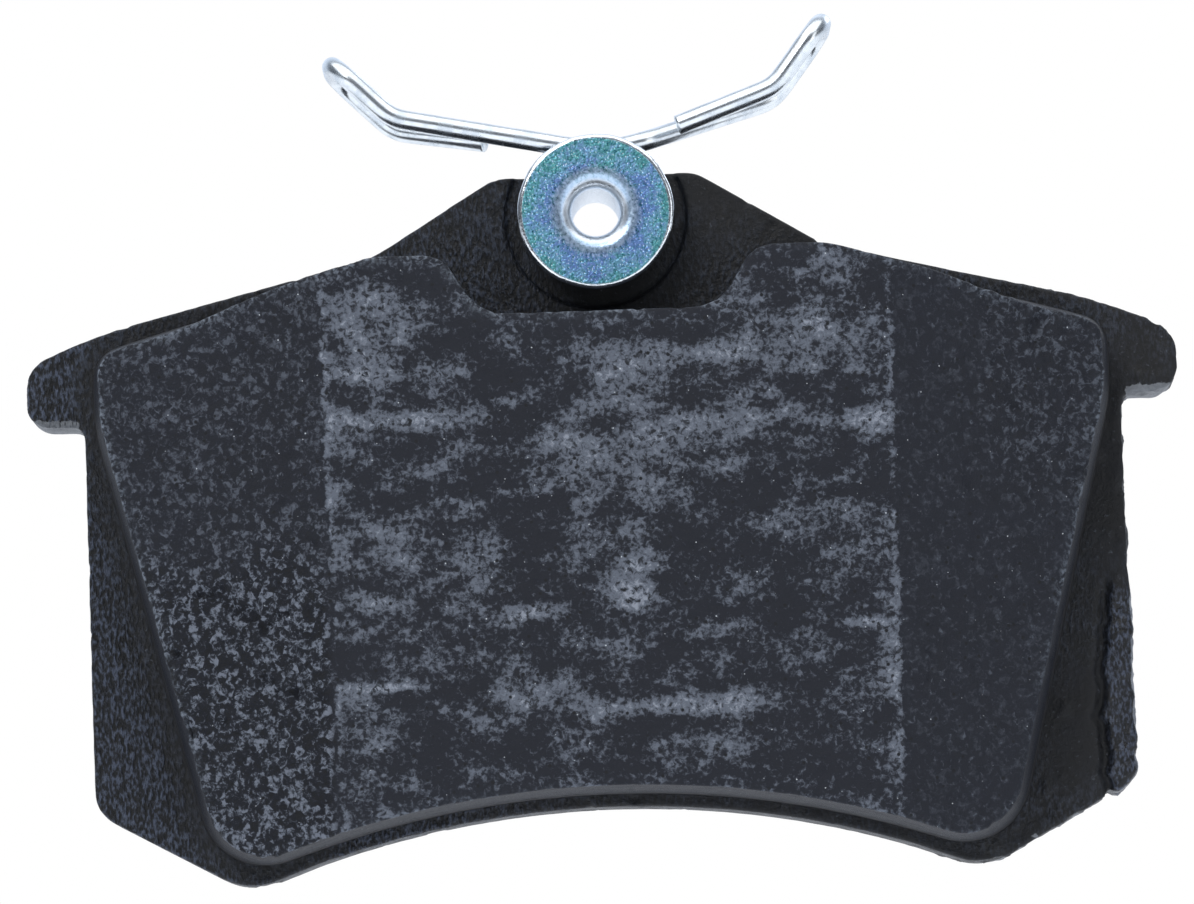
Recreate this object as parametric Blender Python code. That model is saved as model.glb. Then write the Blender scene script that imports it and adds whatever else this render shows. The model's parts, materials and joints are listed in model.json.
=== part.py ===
"""A rear disc brake pad with a wire anti-rattle spring riveted to its top lug.

Metres, +Z up. X runs along the pad, Z from its lower corners up to the lug, and Y through its thickness:
the friction face looks towards -Y and the piston face towards +Y. The origin is the middle of the piston
face, so heights measured from the plate's lower corners are lowered by PISTON_HEIGHT.
"""

import math

import bmesh
import bpy
import numpy as np
from mathutils import Matrix, Vector

GAP = 0.0003  # clearance between two pieces that touch

# How finely curves are faceted
ARC_STEP = math.radians(9)  # the most that one straight facet of a fillet turns
PROFILE_STEP = math.radians(18)  # the same for the small roundings of the rivet's profile
HOLE_SIDES = 40
RECESS_SIDES = 64
RIVET_SIDES = 48
ARC_POINTS = 9  # along each half of the bottom arc
STRAIGHT_TURN = 1e-4  # radians: a corner that turns less is left as it is
MIDDLE_LINE = 1e-7  # a point nearer the middle line than this lies on it
SHARP_EDGE = math.radians(35)
BEVELLED_EDGE = math.radians(60)

# Layers, from the piston face to the friction face
SHIM_THICKNESS = 0.0008
PLATE_THICKNESS = 0.0055
UNDERLAYER_THICKNESS = 0.0015
LINING_THICKNESS = 0.0083

# Backing plate: half widths from the middle, and heights that stack up from the lower corners
BODY_WIDTH = 0.0782  # between the two side abutments
EAR_REACH = 0.0044  # how far an ear stands out past its side abutment
EAR_HEIGHT = 0.0349  # lower corners up to the ears' undersides
EAR_DEPTH = 0.0046  # underside of an ear up to its outer top corner
SHOULDER_RISE = 0.00245  # outer top corner of an ear up to the top edge
TOP_RISE = 0.00505  # along the top edge, from the ear to the foot of the lug
LUG_RISE = 0.0057  # foot of the lug up to its top
SHOULDER_INSET = 0.0015
LUG_FOOT_WIDTH = 0.0340
LUG_TOP_WIDTH = 0.0152
LOWER_CORNER_RUN = 0.01135  # sideways run of the slanted edge from a lower corner to its side abutment
SIDE_CORNER_HEIGHT = 0.0057  # where each side abutment meets the slanted lower edge
BOTTOM_ARC_SAG = 0.0055  # middle of the bottom arc above its two ends
BOTTOM_ARC_RISE = 0.0049  # middle of the bottom arc above the lower corners
PLATE_EDGE = 0.00012  # small bevel round the stamped edges
PISTON_HEIGHT = 0.0265

# Fillets of the plate's outline
LOWER_CORNER_FILLET = 0.0048
SIDE_CORNER_FILLET = 0.0025
EAR_ROOT_FILLET = 0.0008
EAR_LOWER_FILLET = 0.0018
EAR_UPPER_FILLET = 0.0026
SHOULDER_FILLET = 0.0220
LUG_FOOT_FILLET = 0.0040
LUG_TOP_FILLET = 0.0021

# Friction block: insets from the plate's outline at its foot, then the draft of its walls
LINING_BOTTOM_INSET = 0.00093
LINING_SIDE_INSET = 0.0007
LINING_SIDE_DROP = 0.0002  # from the ears' undersides down to where the slanted side turns upright
LINING_SIDE_SLOPE = 0.255  # sideways run of the slanted side for each unit of height
LINING_TOP_INSET = 0.0016
LINING_LOBE_INSET = 0.00085
NOTCH_FLANK = 0.0027  # sideways run of the notch's sloping flank
NOTCH_SIDE_MARGIN = 0.00285  # rivet's flange to the foot of the notch's flank
NOTCH_LOWER_MARGIN = 0.0020  # rivet's flange down to the notch
WALL_DRAFT = math.radians(1.3)
END_DRAFT = math.radians(8.0)  # the walls at the two ends lean in more
END_DRAFT_MARGIN = 0.0061  # from a side abutment in to where the wall has its full lean
END_DRAFT_RUN = 0.0090  # sideways run over which the lean grows
LINING_LOWER_FILLET = 0.0050
LINING_SIDE_FILLET = 0.0120
LINING_UPPER_FILLET = 0.0026
LINING_LOBE_FILLET = 0.0060
NOTCH_UPPER_FILLET = 0.0028
NOTCH_LOWER_FILLET = 0.0030
FILLET_ROOM = 1.15  # run that a lower fillet takes from the bottom arc, as a share of its radius

# Lead-in chamfers of the friction face
FLAT_WIDTH = 0.0422  # of the flat between the chamfers, at mid height
FLAT_SHIFT = 0.0005  # the ground flat sits a little to one side
CHAMFER_ANGLE = math.radians(17.0)
CHAMFER_TOE = math.radians(0.75)  # the two chamfer lines close up slightly towards the bottom

# Anchor holes that key the underlayer through the plate, and the shim
ANCHOR_DIAMETER = 0.0080
ANCHOR_SPACING = 0.0300
ANCHOR_HEIGHT = 0.0240
SHIM_INSET = 0.0022
SHIM_HOLE_MARGIN = 0.0010
SHIM_FILLET = 0.0040
SHIM_TOP_DIP = 0.0060  # the shim stays this far below the foot of the lug

# Hollow rivet that holds the spring's eye on the lug
RIVET_SETBACK = 0.0032  # rivet axis below the top of the lug
FLANGE_DIAMETER = 0.0118
FLANGE_THICKNESS = 0.0010
BORE_DIAMETER = 0.0036
BORE_MOUTH = 0.0012  # radius of the rounded mouth of the bore
SHOULDER_DIAMETER = 0.0073  # the eye turns on it
SHANK_DIAMETER = 0.0060
CLENCH_OVERHANG = 0.0017  # how far the rolled tail stands out past the shank
CLENCH_THICKNESS = 0.0006
RIM_ROUNDING = 0.98  # radius of a rolled rim, as a share of half its thickness
TAIL_ROUNDING = 1.5  # the same for the tail's rounding into the bore
RECESS_MARGIN = 0.0010  # the coined ring round the rivet, past its flange
RECESS_DEPTH = 0.0004

# Anti-rattle spring: one wire, an eye round the rivet and a hairpin wing on each side
WIRE_DIAMETER = 0.0015
EYE_CLEARANCE = 0.0001  # between the eye's two layers
SPRING_TILT = math.radians(4.4)  # how far the whole spring has turned on the rivet, anticlockwise
LEG_RISE = math.radians(15.6)
WING_RISE = math.radians(48.5)
LEG_REACH = 0.0145  # rivet axis out to the bend of a wing
WING_LENGTH = 0.0062  # bend to tip
WING_SPREAD = 0.0080  # near leg to far leg, through the depth
LEFT_END_REACH = 0.0077  # rivet axis out to the free end of the left wing
RIGHT_END_REACH = 0.0069
LEFT_END_SPREAD = 0.0055
RIGHT_LEG_DROP = 0.0008  # the right leg leaves the back of the eye, a little lower
ROOT_REACH = 0.0057  # rivet axis out to where a wing flexes
BEND_RADIUS = 0.0030
TIP_RADIUS = 0.0020
WIRE_STEP = math.radians(12)

# Places that follow from the sizes above
PLATE_BACK = -(SHIM_THICKNESS + GAP)
PLATE_FRONT = PLATE_BACK - PLATE_THICKNESS
UNDERLAYER_BACK = PLATE_FRONT - GAP
UNDERLAYER_FRONT = UNDERLAYER_BACK - UNDERLAYER_THICKNESS
LINING_BACK = UNDERLAYER_FRONT - GAP
LINING_FRONT = LINING_BACK - LINING_THICKNESS
LOWER_CORNER_REACH = BODY_WIDTH / 2 - LOWER_CORNER_RUN
BOTTOM_ARC_RADIUS = (BOTTOM_ARC_SAG**2 + LOWER_CORNER_REACH**2) / (2 * BOTTOM_ARC_SAG)
END_DRAFT_FROM = BODY_WIDTH / 2 - END_DRAFT_MARGIN - END_DRAFT_RUN
EAR_TOP = EAR_HEIGHT + EAR_DEPTH
SHOULDER_HEIGHT = EAR_TOP + SHOULDER_RISE
LUG_FOOT_HEIGHT = SHOULDER_HEIGHT + TOP_RISE
LUG_TOP_HEIGHT = LUG_FOOT_HEIGHT + LUG_RISE
RIVET_HEIGHT = LUG_TOP_HEIGHT - RIVET_SETBACK
NOTCH_HEIGHT = RIVET_HEIGHT - FLANGE_DIAMETER / 2 - NOTCH_LOWER_MARGIN
RIVET_Z = RIVET_HEIGHT - PISTON_HEIGHT
RIVET_SEAT = PLATE_FRONT + RECESS_DEPTH
EYE_RADIUS = SHOULDER_DIAMETER / 2 + GAP + WIRE_DIAMETER / 2
EYE_PITCH = WIRE_DIAMETER + EYE_CLEARANCE
FAR_LAYER = RIVET_SEAT - GAP - WIRE_DIAMETER / 2
NEAR_LAYER = FAR_LAYER - EYE_PITCH
FLANGE_BACK = NEAR_LAYER - WIRE_DIAMETER / 2 - GAP
FLANGE_FRONT = FLANGE_BACK - FLANGE_THICKNESS
FAR_LEG = NEAR_LAYER + WING_SPREAD


def clear_scene():
    for obj in list(bpy.data.objects):
        bpy.data.objects.remove(obj, do_unlink=True)


def material(name, colour, roughness, metallic):
    made = bpy.data.materials.new(name)
    made.use_nodes = True
    shader = made.node_tree.nodes["Principled BSDF"]
    shader.inputs["Base Color"].default_value = (*colour, 1.0)
    shader.inputs["Roughness"].default_value = roughness
    shader.inputs["Metallic"].default_value = metallic
    made.diffuse_color = (*colour, 1.0)
    return made


def filleted(before, corner, after, radius, step):
    """Points of the arc of this radius that rounds one corner of a path, in any number of dimensions."""
    back = (before - corner) / np.linalg.norm(before - corner)
    ahead = (after - corner) / np.linalg.norm(after - corner)
    turn = math.pi - math.acos(np.clip(back @ ahead, -1.0, 1.0))
    if radius <= 0 or turn < STRAIGHT_TURN:
        return [corner]
    start = corner + back * radius * math.tan(turn / 2)
    inwards = (back + ahead) / np.linalg.norm(back + ahead)
    centre = corner + inwards * radius / math.cos(turn / 2)
    out = (start - centre) / radius
    along = -back
    count = max(2, math.ceil(turn / step) + 1)
    angles = np.linspace(0.0, turn, count)
    return [centre + radius * (out * math.cos(a) + along * math.sin(a)) for a in angles]


def rounded_path(corners, radii, step, closed=False):
    """The corners joined by straight runs, each rounded to its radius."""
    corners = [np.array(c, float) for c in corners]
    points = []
    for i, (corner, radius) in enumerate(zip(corners, radii)):
        if not closed and i in (0, len(corners) - 1):
            points.append(corner)
            continue
        after = corners[(i + 1) % len(corners)]
        points.extend(filleted(corners[i - 1], corner, after, radius, step))
    return points


def arc_height(reach, inset_by):
    """Height of the concave bottom edge, moved inwards by an inset, at a sideways reach."""
    radius = BOTTOM_ARC_RADIUS + inset_by
    return BOTTOM_ARC_RISE + inset_by - radius + math.sqrt(radius**2 - reach**2)


def bottom_edge(corner_reach, fillet, inset_by):
    """Right half of a concave bottom edge as (x, height), then the corner that its fillet rounds."""
    reaches = np.linspace(0.0, corner_reach - FILLET_ROOM * fillet, ARC_POINTS)
    arc = [np.array([reach, arc_height(reach, inset_by)]) for reach in reaches]
    return arc, (corner_reach, arc_height(corner_reach, inset_by), fillet)


def mirrored(right_half):
    """A closed outline from its right half, which starts and ends on the middle line."""
    left_half = [np.array([-x, z]) for x, z in right_half[-1:0:-1] if x > MIDDLE_LINE]
    return right_half + left_half


def plate_outline():
    side = BODY_WIDTH / 2
    ear = side + EAR_REACH
    arc, lower_corner = bottom_edge(LOWER_CORNER_REACH, LOWER_CORNER_FILLET, 0.0)
    corners = [
        (*arc[-1], 0.0),
        lower_corner,
        (side, SIDE_CORNER_HEIGHT, SIDE_CORNER_FILLET),
        (side, EAR_HEIGHT, EAR_ROOT_FILLET),
        (ear, EAR_HEIGHT, EAR_LOWER_FILLET),
        (ear, EAR_TOP, EAR_UPPER_FILLET),
        (side - SHOULDER_INSET, SHOULDER_HEIGHT, SHOULDER_FILLET),
        (LUG_FOOT_WIDTH / 2, LUG_FOOT_HEIGHT, LUG_FOOT_FILLET),
        (LUG_TOP_WIDTH / 2, LUG_TOP_HEIGHT, LUG_TOP_FILLET),
        (0.0, LUG_TOP_HEIGHT, 0.0),
    ]
    path = rounded_path([c[:2] for c in corners], [c[2] for c in corners], ARC_STEP)
    return mirrored(arc[:-1] + path)


def lining_outline():
    """Outline of the friction block at its foot, on the plate."""
    side = BODY_WIDTH / 2 - LINING_SIDE_INSET
    upright_from = EAR_HEIGHT - LINING_SIDE_DROP
    lower = side - LINING_SIDE_SLOPE * (upright_from - LINING_BOTTOM_INSET)
    arc, lower_corner = bottom_edge(lower, LINING_LOWER_FILLET, LINING_BOTTOM_INSET)
    notch = FLANGE_DIAMETER / 2 + NOTCH_SIDE_MARGIN
    lobe = LUG_FOOT_HEIGHT - LINING_LOBE_INSET
    corners = [
        (*arc[-1], 0.0),
        lower_corner,
        (side, upright_from, LINING_SIDE_FILLET),
        (side, SHOULDER_HEIGHT - LINING_TOP_INSET, LINING_UPPER_FILLET),
        (LUG_FOOT_WIDTH / 2, lobe, LINING_LOBE_FILLET),
        (notch + NOTCH_FLANK, lobe, NOTCH_UPPER_FILLET),
        (notch, NOTCH_HEIGHT, NOTCH_LOWER_FILLET),
        (0.0, NOTCH_HEIGHT, 0.0),
    ]
    path = rounded_path([c[:2] for c in corners], [c[2] for c in corners], ARC_STEP)
    return mirrored(arc[:-1] + path)


def shim_outline():
    side = BODY_WIDTH / 2 - SHIM_INSET
    arc, lower_corner = bottom_edge(LOWER_CORNER_REACH, LOWER_CORNER_FILLET, SHIM_INSET)
    top = LUG_FOOT_HEIGHT - SHIM_TOP_DIP
    corners = [
        (*arc[-1], 0.0),
        lower_corner,
        (side, SIDE_CORNER_HEIGHT + SHIM_INSET, SIDE_CORNER_FILLET),
        (side, EAR_HEIGHT, SHIM_FILLET),
        (LUG_FOOT_WIDTH / 2, top, LUG_FOOT_FILLET),
        (0.0, top, 0.0),
    ]
    path = rounded_path([c[:2] for c in corners], [c[2] for c in corners], ARC_STEP)
    return mirrored(arc[:-1] + path)


def inset(outline, distances):
    """Each point of a closed anticlockwise outline moved inwards by its distance, square to its two edges."""
    points = np.array(outline)
    ahead = np.roll(points, -1, axis=0) - points
    normal = np.stack([-ahead[:, 1], ahead[:, 0]], axis=1)
    normal /= np.linalg.norm(normal, axis=1, keepdims=True)
    before = np.roll(normal, 1, axis=0)
    middle = normal + before
    middle /= np.linalg.norm(middle, axis=1, keepdims=True)
    stretch = distances[:, None] / np.sum(middle * normal, axis=1, keepdims=True)
    return points + middle * stretch


def link(obj):
    bpy.context.scene.collection.objects.link(obj)
    return obj


def mesh_object(name, bm, finish):
    bmesh.ops.recalc_face_normals(bm, faces=bm.faces)
    mesh = bpy.data.meshes.new(name)
    bm.to_mesh(mesh)
    bm.free()
    if finish:
        mesh.materials.append(finish)
    return link(bpy.data.objects.new(name, mesh))


def loft(rings):
    """A closed body through rings of the same number of points, capped at both ends."""
    bm = bmesh.new()
    rows = [[bm.verts.new(Vector(point)) for point in ring] for ring in rings]
    count = len(rows[0])
    for lower, upper in zip(rows, rows[1:]):
        for i in range(count):
            j = (i + 1) % count
            bm.faces.new((lower[i], lower[j], upper[j], upper[i]))
    bm.faces.new(rows[0][::-1])
    bm.faces.new(rows[-1])
    return bm


def at_depth(outline, y):
    """An outline of (x, height) placed at a depth in the part's frame."""
    return [(x, y, z - PISTON_HEIGHT) for x, z in outline]


def drafted_block(back, front):
    """The slice of the friction block between two depths, its walls leaning in by the draft."""
    foot = np.array(lining_outline())
    share = np.clip((abs(foot[:, 0]) - END_DRAFT_FROM) / END_DRAFT_RUN, 0.0, 1.0)
    lean = math.tan(WALL_DRAFT) + share * (math.tan(END_DRAFT) - math.tan(WALL_DRAFT))
    return loft([at_depth(inset(foot, (PLATE_FRONT - y) * lean), y) for y in (back, front)])


def cylinder_y(name, radius, x, z, back, front, sides=HOLE_SIDES):
    """A round cutter or plug along Y."""
    bm = bmesh.new()
    bmesh.ops.create_cone(
        bm,
        cap_ends=True,
        segments=sides,
        radius1=radius,
        radius2=radius,
        depth=back - front,
        matrix=Matrix.Translation((x, (back + front) / 2, z)) @ Matrix.Rotation(math.pi / 2, 4, "X"),
    )
    helper = mesh_object(name, bm, None)
    helper.hide_render = True
    helper.display_type = "WIRE"
    return helper


def boolean(obj, helper, operation):
    modifier = obj.modifiers.new(helper.name, "BOOLEAN")
    modifier.operation = operation
    modifier.object = helper


def anchor_places():
    z = ANCHOR_HEIGHT - PISTON_HEIGHT
    return [(-ANCHOR_SPACING / 2, z), (ANCHOR_SPACING / 2, z)]


def smooth(obj):
    obj.data.shade_smooth()
    obj.data.set_sharp_from_angle(angle=SHARP_EDGE)


def backing_plate(finish):
    outline = plate_outline()
    plate = mesh_object(
        "backing_plate",
        loft([at_depth(outline, PLATE_BACK), at_depth(outline, PLATE_FRONT)]),
        finish,
    )
    edge = plate.modifiers.new("stamped_edge", "BEVEL")
    edge.width = PLATE_EDGE
    edge.segments = 1
    edge.limit_method = "ANGLE"
    edge.angle_limit = BEVELLED_EDGE
    past = PLATE_THICKNESS
    hole = cylinder_y(
        "cut_rivet_hole", SHANK_DIAMETER / 2 + GAP, 0.0, RIVET_Z, PLATE_BACK + past, PLATE_FRONT - past
    )
    boolean(plate, hole, "DIFFERENCE")
    ring = cylinder_y(
        "cut_coined_ring",
        FLANGE_DIAMETER / 2 + RECESS_MARGIN,
        0.0,
        RIVET_Z,
        RIVET_SEAT,
        PLATE_FRONT - past,
        RECESS_SIDES,
    )
    boolean(plate, ring, "DIFFERENCE")
    for i, (x, z) in enumerate(anchor_places()):
        cut = cylinder_y(
            f"cut_anchor_{i}", ANCHOR_DIAMETER / 2, x, z, PLATE_BACK + past, PLATE_FRONT - past
        )
        boolean(plate, cut, "DIFFERENCE")
    smooth(plate)
    return plate


def bonding_underlayer(finish):
    layer = mesh_object("bonding_underlayer", drafted_block(UNDERLAYER_BACK, UNDERLAYER_FRONT), finish)
    middle = (UNDERLAYER_BACK + UNDERLAYER_FRONT) / 2
    for i, (x, z) in enumerate(anchor_places()):
        plug = cylinder_y(f"add_plug_{i}", ANCHOR_DIAMETER / 2 - GAP, x, z, PLATE_BACK, middle)
        boolean(layer, plug, "UNION")
    smooth(layer)
    return layer


def friction_lining(finish):
    bm = drafted_block(LINING_BACK, LINING_FRONT)
    for side in (-1, 1):
        line = FLAT_SHIFT + side * FLAT_WIDTH / 2
        normal = Vector((side * math.sin(CHAMFER_ANGLE), -math.cos(CHAMFER_ANGLE), 0.0))
        normal = Matrix.Rotation(side * CHAMFER_TOE, 3, "Y") @ normal
        cut = bmesh.ops.bisect_plane(
            bm,
            geom=bm.verts[:] + bm.edges[:] + bm.faces[:],
            plane_co=Vector((line, LINING_FRONT, 0.0)),
            plane_no=normal,
            clear_outer=True,
        )
        rim = [item for item in cut["geom_cut"] if isinstance(item, bmesh.types.BMEdge)]
        bmesh.ops.contextual_create(bm, geom=rim)
    lining = mesh_object("friction_lining", bm, finish)
    smooth(lining)
    return lining


def noise_shim(finish):
    outline = shim_outline()
    shim = mesh_object(
        "noise_shim", loft([at_depth(outline, 0.0), at_depth(outline, -SHIM_THICKNESS)]), finish
    )
    for i, (x, z) in enumerate(anchor_places()):
        radius = ANCHOR_DIAMETER / 2 + SHIM_HOLE_MARGIN
        cut = cylinder_y(
            f"cut_shim_{i}", radius, x, z, SHIM_THICKNESS, -SHIM_THICKNESS - GAP / 2
        )
        boolean(shim, cut, "DIFFERENCE")
    smooth(shim)
    return shim


def rivet_profile():
    """Closed (radius, y) profile, from the flange's face round its rim, along the shank and back by the bore."""
    flange = FLANGE_DIAMETER / 2
    rim = FLANGE_THICKNESS / 2
    bore = BORE_DIAMETER / 2
    shoulder = SHOULDER_DIAMETER / 2
    shank = SHANK_DIAMETER / 2
    seat = RIVET_SEAT - GAP
    clench = PLATE_BACK + GAP
    tail = clench + CLENCH_THICKNESS
    roll = CLENCH_THICKNESS / 2
    corners = [
        (bore, FLANGE_FRONT, BORE_MOUTH),
        (flange, FLANGE_FRONT, rim * RIM_ROUNDING),
        (flange, FLANGE_BACK, rim * RIM_ROUNDING),
        (shoulder, FLANGE_BACK, 0.0),
        (shoulder, seat, 0.0),
        (shank, seat, 0.0),
        (shank, clench, 0.0),
        (shank + CLENCH_OVERHANG, clench, roll * RIM_ROUNDING),
        (shank + CLENCH_OVERHANG, tail, roll * RIM_ROUNDING),
        (bore, tail, roll * TAIL_ROUNDING),
    ]
    return rounded_path([c[:2] for c in corners], [c[2] for c in corners], PROFILE_STEP, closed=True)


def hollow_rivet(finish):
    rings = []
    profile = rivet_profile()
    for i in range(RIVET_SIDES):
        angle = 2 * math.pi * i / RIVET_SIDES
        rings.append([(r * math.cos(angle), y, r * math.sin(angle)) for r, y in profile])
    bm = bmesh.new()
    rows = [[bm.verts.new(point) for point in ring] for ring in rings]
    for row, nxt in zip(rows, rows[1:] + rows[:1]):
        for i in range(len(profile)):
            j = (i + 1) % len(profile)
            bm.faces.new((row[i], nxt[i], nxt[j], row[j]))
    rivet = mesh_object("hollow_rivet", bm, finish)
    rivet.location = (0.0, 0.0, RIVET_Z)
    smooth(rivet)
    return rivet


def leg_height(reach, drop):
    """Height above the rivet axis of a leg's centreline, at a sideways reach."""
    return EYE_RADIUS / math.cos(LEG_RISE) - drop + reach * math.tan(LEG_RISE)


def eye_turn():
    """The wire's turn round the rivet, from the left leg's tangent point to the right leg's."""
    start = math.pi / 2 - LEG_RISE
    end = math.pi / 2 + LEG_RISE - 2 * math.pi
    count = math.ceil((start - end) / WIRE_STEP)
    points = []
    for share in np.linspace(0.0, 1.0, count):
        angle = start + (end - start) * share
        depth = NEAR_LAYER + EYE_PITCH * share
        points.append(
            np.array([EYE_RADIUS * math.cos(angle), depth, EYE_RADIUS * math.sin(angle)])
        )
    return points


def far_depth(reach):
    """Depth of the right far leg as it runs out from the back of the eye."""
    share = (reach - ROOT_REACH + WIRE_DIAMETER) / (LEG_REACH - ROOT_REACH + WIRE_DIAMETER)
    return FAR_LAYER + (FAR_LEG - FAR_LAYER) * min(max(share, 0.0), 1.0)


def spring_eye_path():
    turn = eye_turn()
    left = np.array([-ROOT_REACH + GAP / 2, NEAR_LAYER, leg_height(ROOT_REACH, 0.0)])
    right_root = ROOT_REACH - GAP / 2
    bend = ROOT_REACH - WIRE_DIAMETER
    out = np.array([bend, FAR_LAYER, leg_height(bend, RIGHT_LEG_DROP)])
    right = np.array([right_root, far_depth(right_root), leg_height(right_root, RIGHT_LEG_DROP)])
    lead = rounded_path([turn[-1], out, right], [0.0, BEND_RADIUS, 0.0], WIRE_STEP)
    return [left] + turn + lead[1:]


def wing_path(side):
    """A hairpin wing from the root where it flexes, out along one leg, across its tip and back to its free end."""
    drop = RIGHT_LEG_DROP if side > 0 else 0.0
    tip_reach = LEG_REACH + WING_LENGTH * math.cos(WING_RISE)
    bend_height = leg_height(LEG_REACH, drop)
    tip_height = bend_height + WING_LENGTH * math.sin(WING_RISE)
    root = ROOT_REACH + GAP / 2
    near = [(root, NEAR_LAYER), (LEG_REACH, NEAR_LAYER), (tip_reach, NEAR_LAYER)]
    far = [(root, far_depth(root)), (LEG_REACH, FAR_LEG), (tip_reach, FAR_LEG)]
    if side > 0:
        joined, free = far, near
        free_end = (RIGHT_END_REACH, NEAR_LAYER)
    else:
        joined, free = near, far
        free_end = (LEFT_END_REACH, NEAR_LAYER + LEFT_END_SPREAD)
    route = joined + [free[2], free[1], free_end]
    corners = []
    for reach, depth in route:
        height = leg_height(reach, drop)
        height = tip_height if reach == tip_reach else height
        corners.append((side * reach, depth, height))
    radii = [0.0, BEND_RADIUS, TIP_RADIUS, TIP_RADIUS, BEND_RADIUS, 0.0]
    return rounded_path(corners, radii, WIRE_STEP)


def wire(name, path, origin, parent, finish):
    """A round wire along a path given in the spring's own frame, with its object's origin at a point of it."""
    curve = bpy.data.curves.new(name, "CURVE")
    curve.dimensions = "3D"
    curve.bevel_depth = WIRE_DIAMETER / 2
    curve.bevel_resolution = 4
    curve.use_fill_caps = True
    spline = curve.splines.new("POLY")
    spline.points.add(len(path) - 1)
    for knot, point in zip(spline.points, path):
        knot.co = (*(point - origin), 1.0)
    curve.materials.append(finish)
    obj = link(bpy.data.objects.new(name, curve))
    obj.parent = parent
    obj.location = origin
    return obj


def spring(finish):
    """The spring's three stretches hang on an empty on the rivet's axis, which carries the spring's tilt."""
    pivot = link(bpy.data.objects.new("spring_pivot", None))
    pivot.location = (0.0, 0.0, RIVET_Z)
    pivot.rotation_euler = (0.0, -SPRING_TILT, 0.0)
    wire("spring_eye", spring_eye_path(), np.zeros(3), pivot, finish)
    for side, name in ((-1, "spring_left_wing"), (1, "spring_right_wing")):
        drop = RIGHT_LEG_DROP if side > 0 else 0.0
        depth = far_depth(ROOT_REACH) if side > 0 else NEAR_LAYER
        root = np.array([side * ROOT_REACH, depth, leg_height(ROOT_REACH, drop)])
        wire(name, wing_path(side), root, pivot, finish)


def main():
    clear_scene()
    black_coat = material("black_coat", (0.022, 0.024, 0.030), 0.55, 0.0)
    friction_mix = material("friction_mix", (0.030, 0.033, 0.042), 0.85, 0.0)
    underlayer_mix = material("underlayer_mix", (0.018, 0.019, 0.023), 0.80, 0.0)
    shim_rubber = material("shim_rubber", (0.020, 0.020, 0.022), 0.70, 0.0)
    zinc = material("zinc", (0.20, 0.36, 0.47), 0.32, 0.9)
    spring_steel = material("spring_steel", (0.72, 0.76, 0.80), 0.18, 1.0)
    backing_plate(black_coat)
    bonding_underlayer(underlayer_mix)
    friction_lining(friction_mix)
    noise_shim(shim_rubber)
    hollow_rivet(zinc)
    spring(spring_steel)


main()
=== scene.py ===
# %% [markdown]
# # A rear brake pad with its wire spring
# The imported model gives every size and place. This script dresses it: each piece is worked out again as a fine
# surface with the chips, grains and bends of the real thing; the pad's pieces ride on the CAD body they belong to.

import itertools
import json
import math

import bpy
import numpy as np
from mathutils import Matrix, Vector
from mathutils.geometry import delaunay_2d_cdt


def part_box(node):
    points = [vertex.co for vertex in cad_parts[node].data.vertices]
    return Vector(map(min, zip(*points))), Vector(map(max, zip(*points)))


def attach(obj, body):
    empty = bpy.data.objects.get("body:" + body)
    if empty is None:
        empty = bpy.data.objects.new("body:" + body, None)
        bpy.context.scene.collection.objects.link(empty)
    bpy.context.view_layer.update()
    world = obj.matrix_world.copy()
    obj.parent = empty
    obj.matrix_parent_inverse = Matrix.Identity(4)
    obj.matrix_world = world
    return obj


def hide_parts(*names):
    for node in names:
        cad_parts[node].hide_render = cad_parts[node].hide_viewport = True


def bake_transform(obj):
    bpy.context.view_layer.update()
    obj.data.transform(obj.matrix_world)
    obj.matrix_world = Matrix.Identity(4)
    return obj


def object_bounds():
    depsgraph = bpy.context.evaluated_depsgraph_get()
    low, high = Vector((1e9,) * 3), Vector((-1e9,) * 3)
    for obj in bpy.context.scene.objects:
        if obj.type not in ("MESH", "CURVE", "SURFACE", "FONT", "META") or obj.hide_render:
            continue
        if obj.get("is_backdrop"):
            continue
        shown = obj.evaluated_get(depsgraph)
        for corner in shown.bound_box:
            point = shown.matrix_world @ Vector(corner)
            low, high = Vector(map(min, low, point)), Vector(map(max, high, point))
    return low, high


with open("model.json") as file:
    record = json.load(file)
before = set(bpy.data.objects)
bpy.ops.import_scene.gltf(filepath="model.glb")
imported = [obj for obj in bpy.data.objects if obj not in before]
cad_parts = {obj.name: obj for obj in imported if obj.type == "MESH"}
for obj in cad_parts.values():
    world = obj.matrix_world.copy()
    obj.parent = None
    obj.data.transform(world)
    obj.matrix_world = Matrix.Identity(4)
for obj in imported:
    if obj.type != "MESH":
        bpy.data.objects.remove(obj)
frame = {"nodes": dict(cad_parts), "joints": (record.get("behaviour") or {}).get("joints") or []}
cad_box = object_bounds()
MM = 0.001

# %% [markdown]
# ## Places
# Everything is measured from the frame, in millimetres: x along the pad, y through its thickness with the friction
# face towards -y, z up. Reading the planes off the nodes' boxes keeps the looks and the CAD together.


# %% Planes and the rivet's axis
def span(node, axis):
    """Lowest and highest millimetre of a CAD node along an axis, 0 to 2."""
    low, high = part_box(node)
    return low[axis] / MM, high[axis] / MM


PLATE_FRONT, PLATE_BACK = span("backing_plate", 1)
FACE, LINING_FOOT = span("friction_lining", 1)
LAYER_FRONT = span("bonding_underlayer", 1)[0]
SHIM_BACK = span("noise_shim", 1)[1]
FLANGE_FRONT, TAIL_BACK = span("hollow_rivet", 1)
joints = {joint["name"]: joint for joint in frame["joints"]}
RIVET_Z = joints["spring_swivel"]["pos_m"][2] / MM
print("plate", PLATE_FRONT, PLATE_BACK, "face", FACE, "rivet axis at", RIVET_Z)

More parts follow.
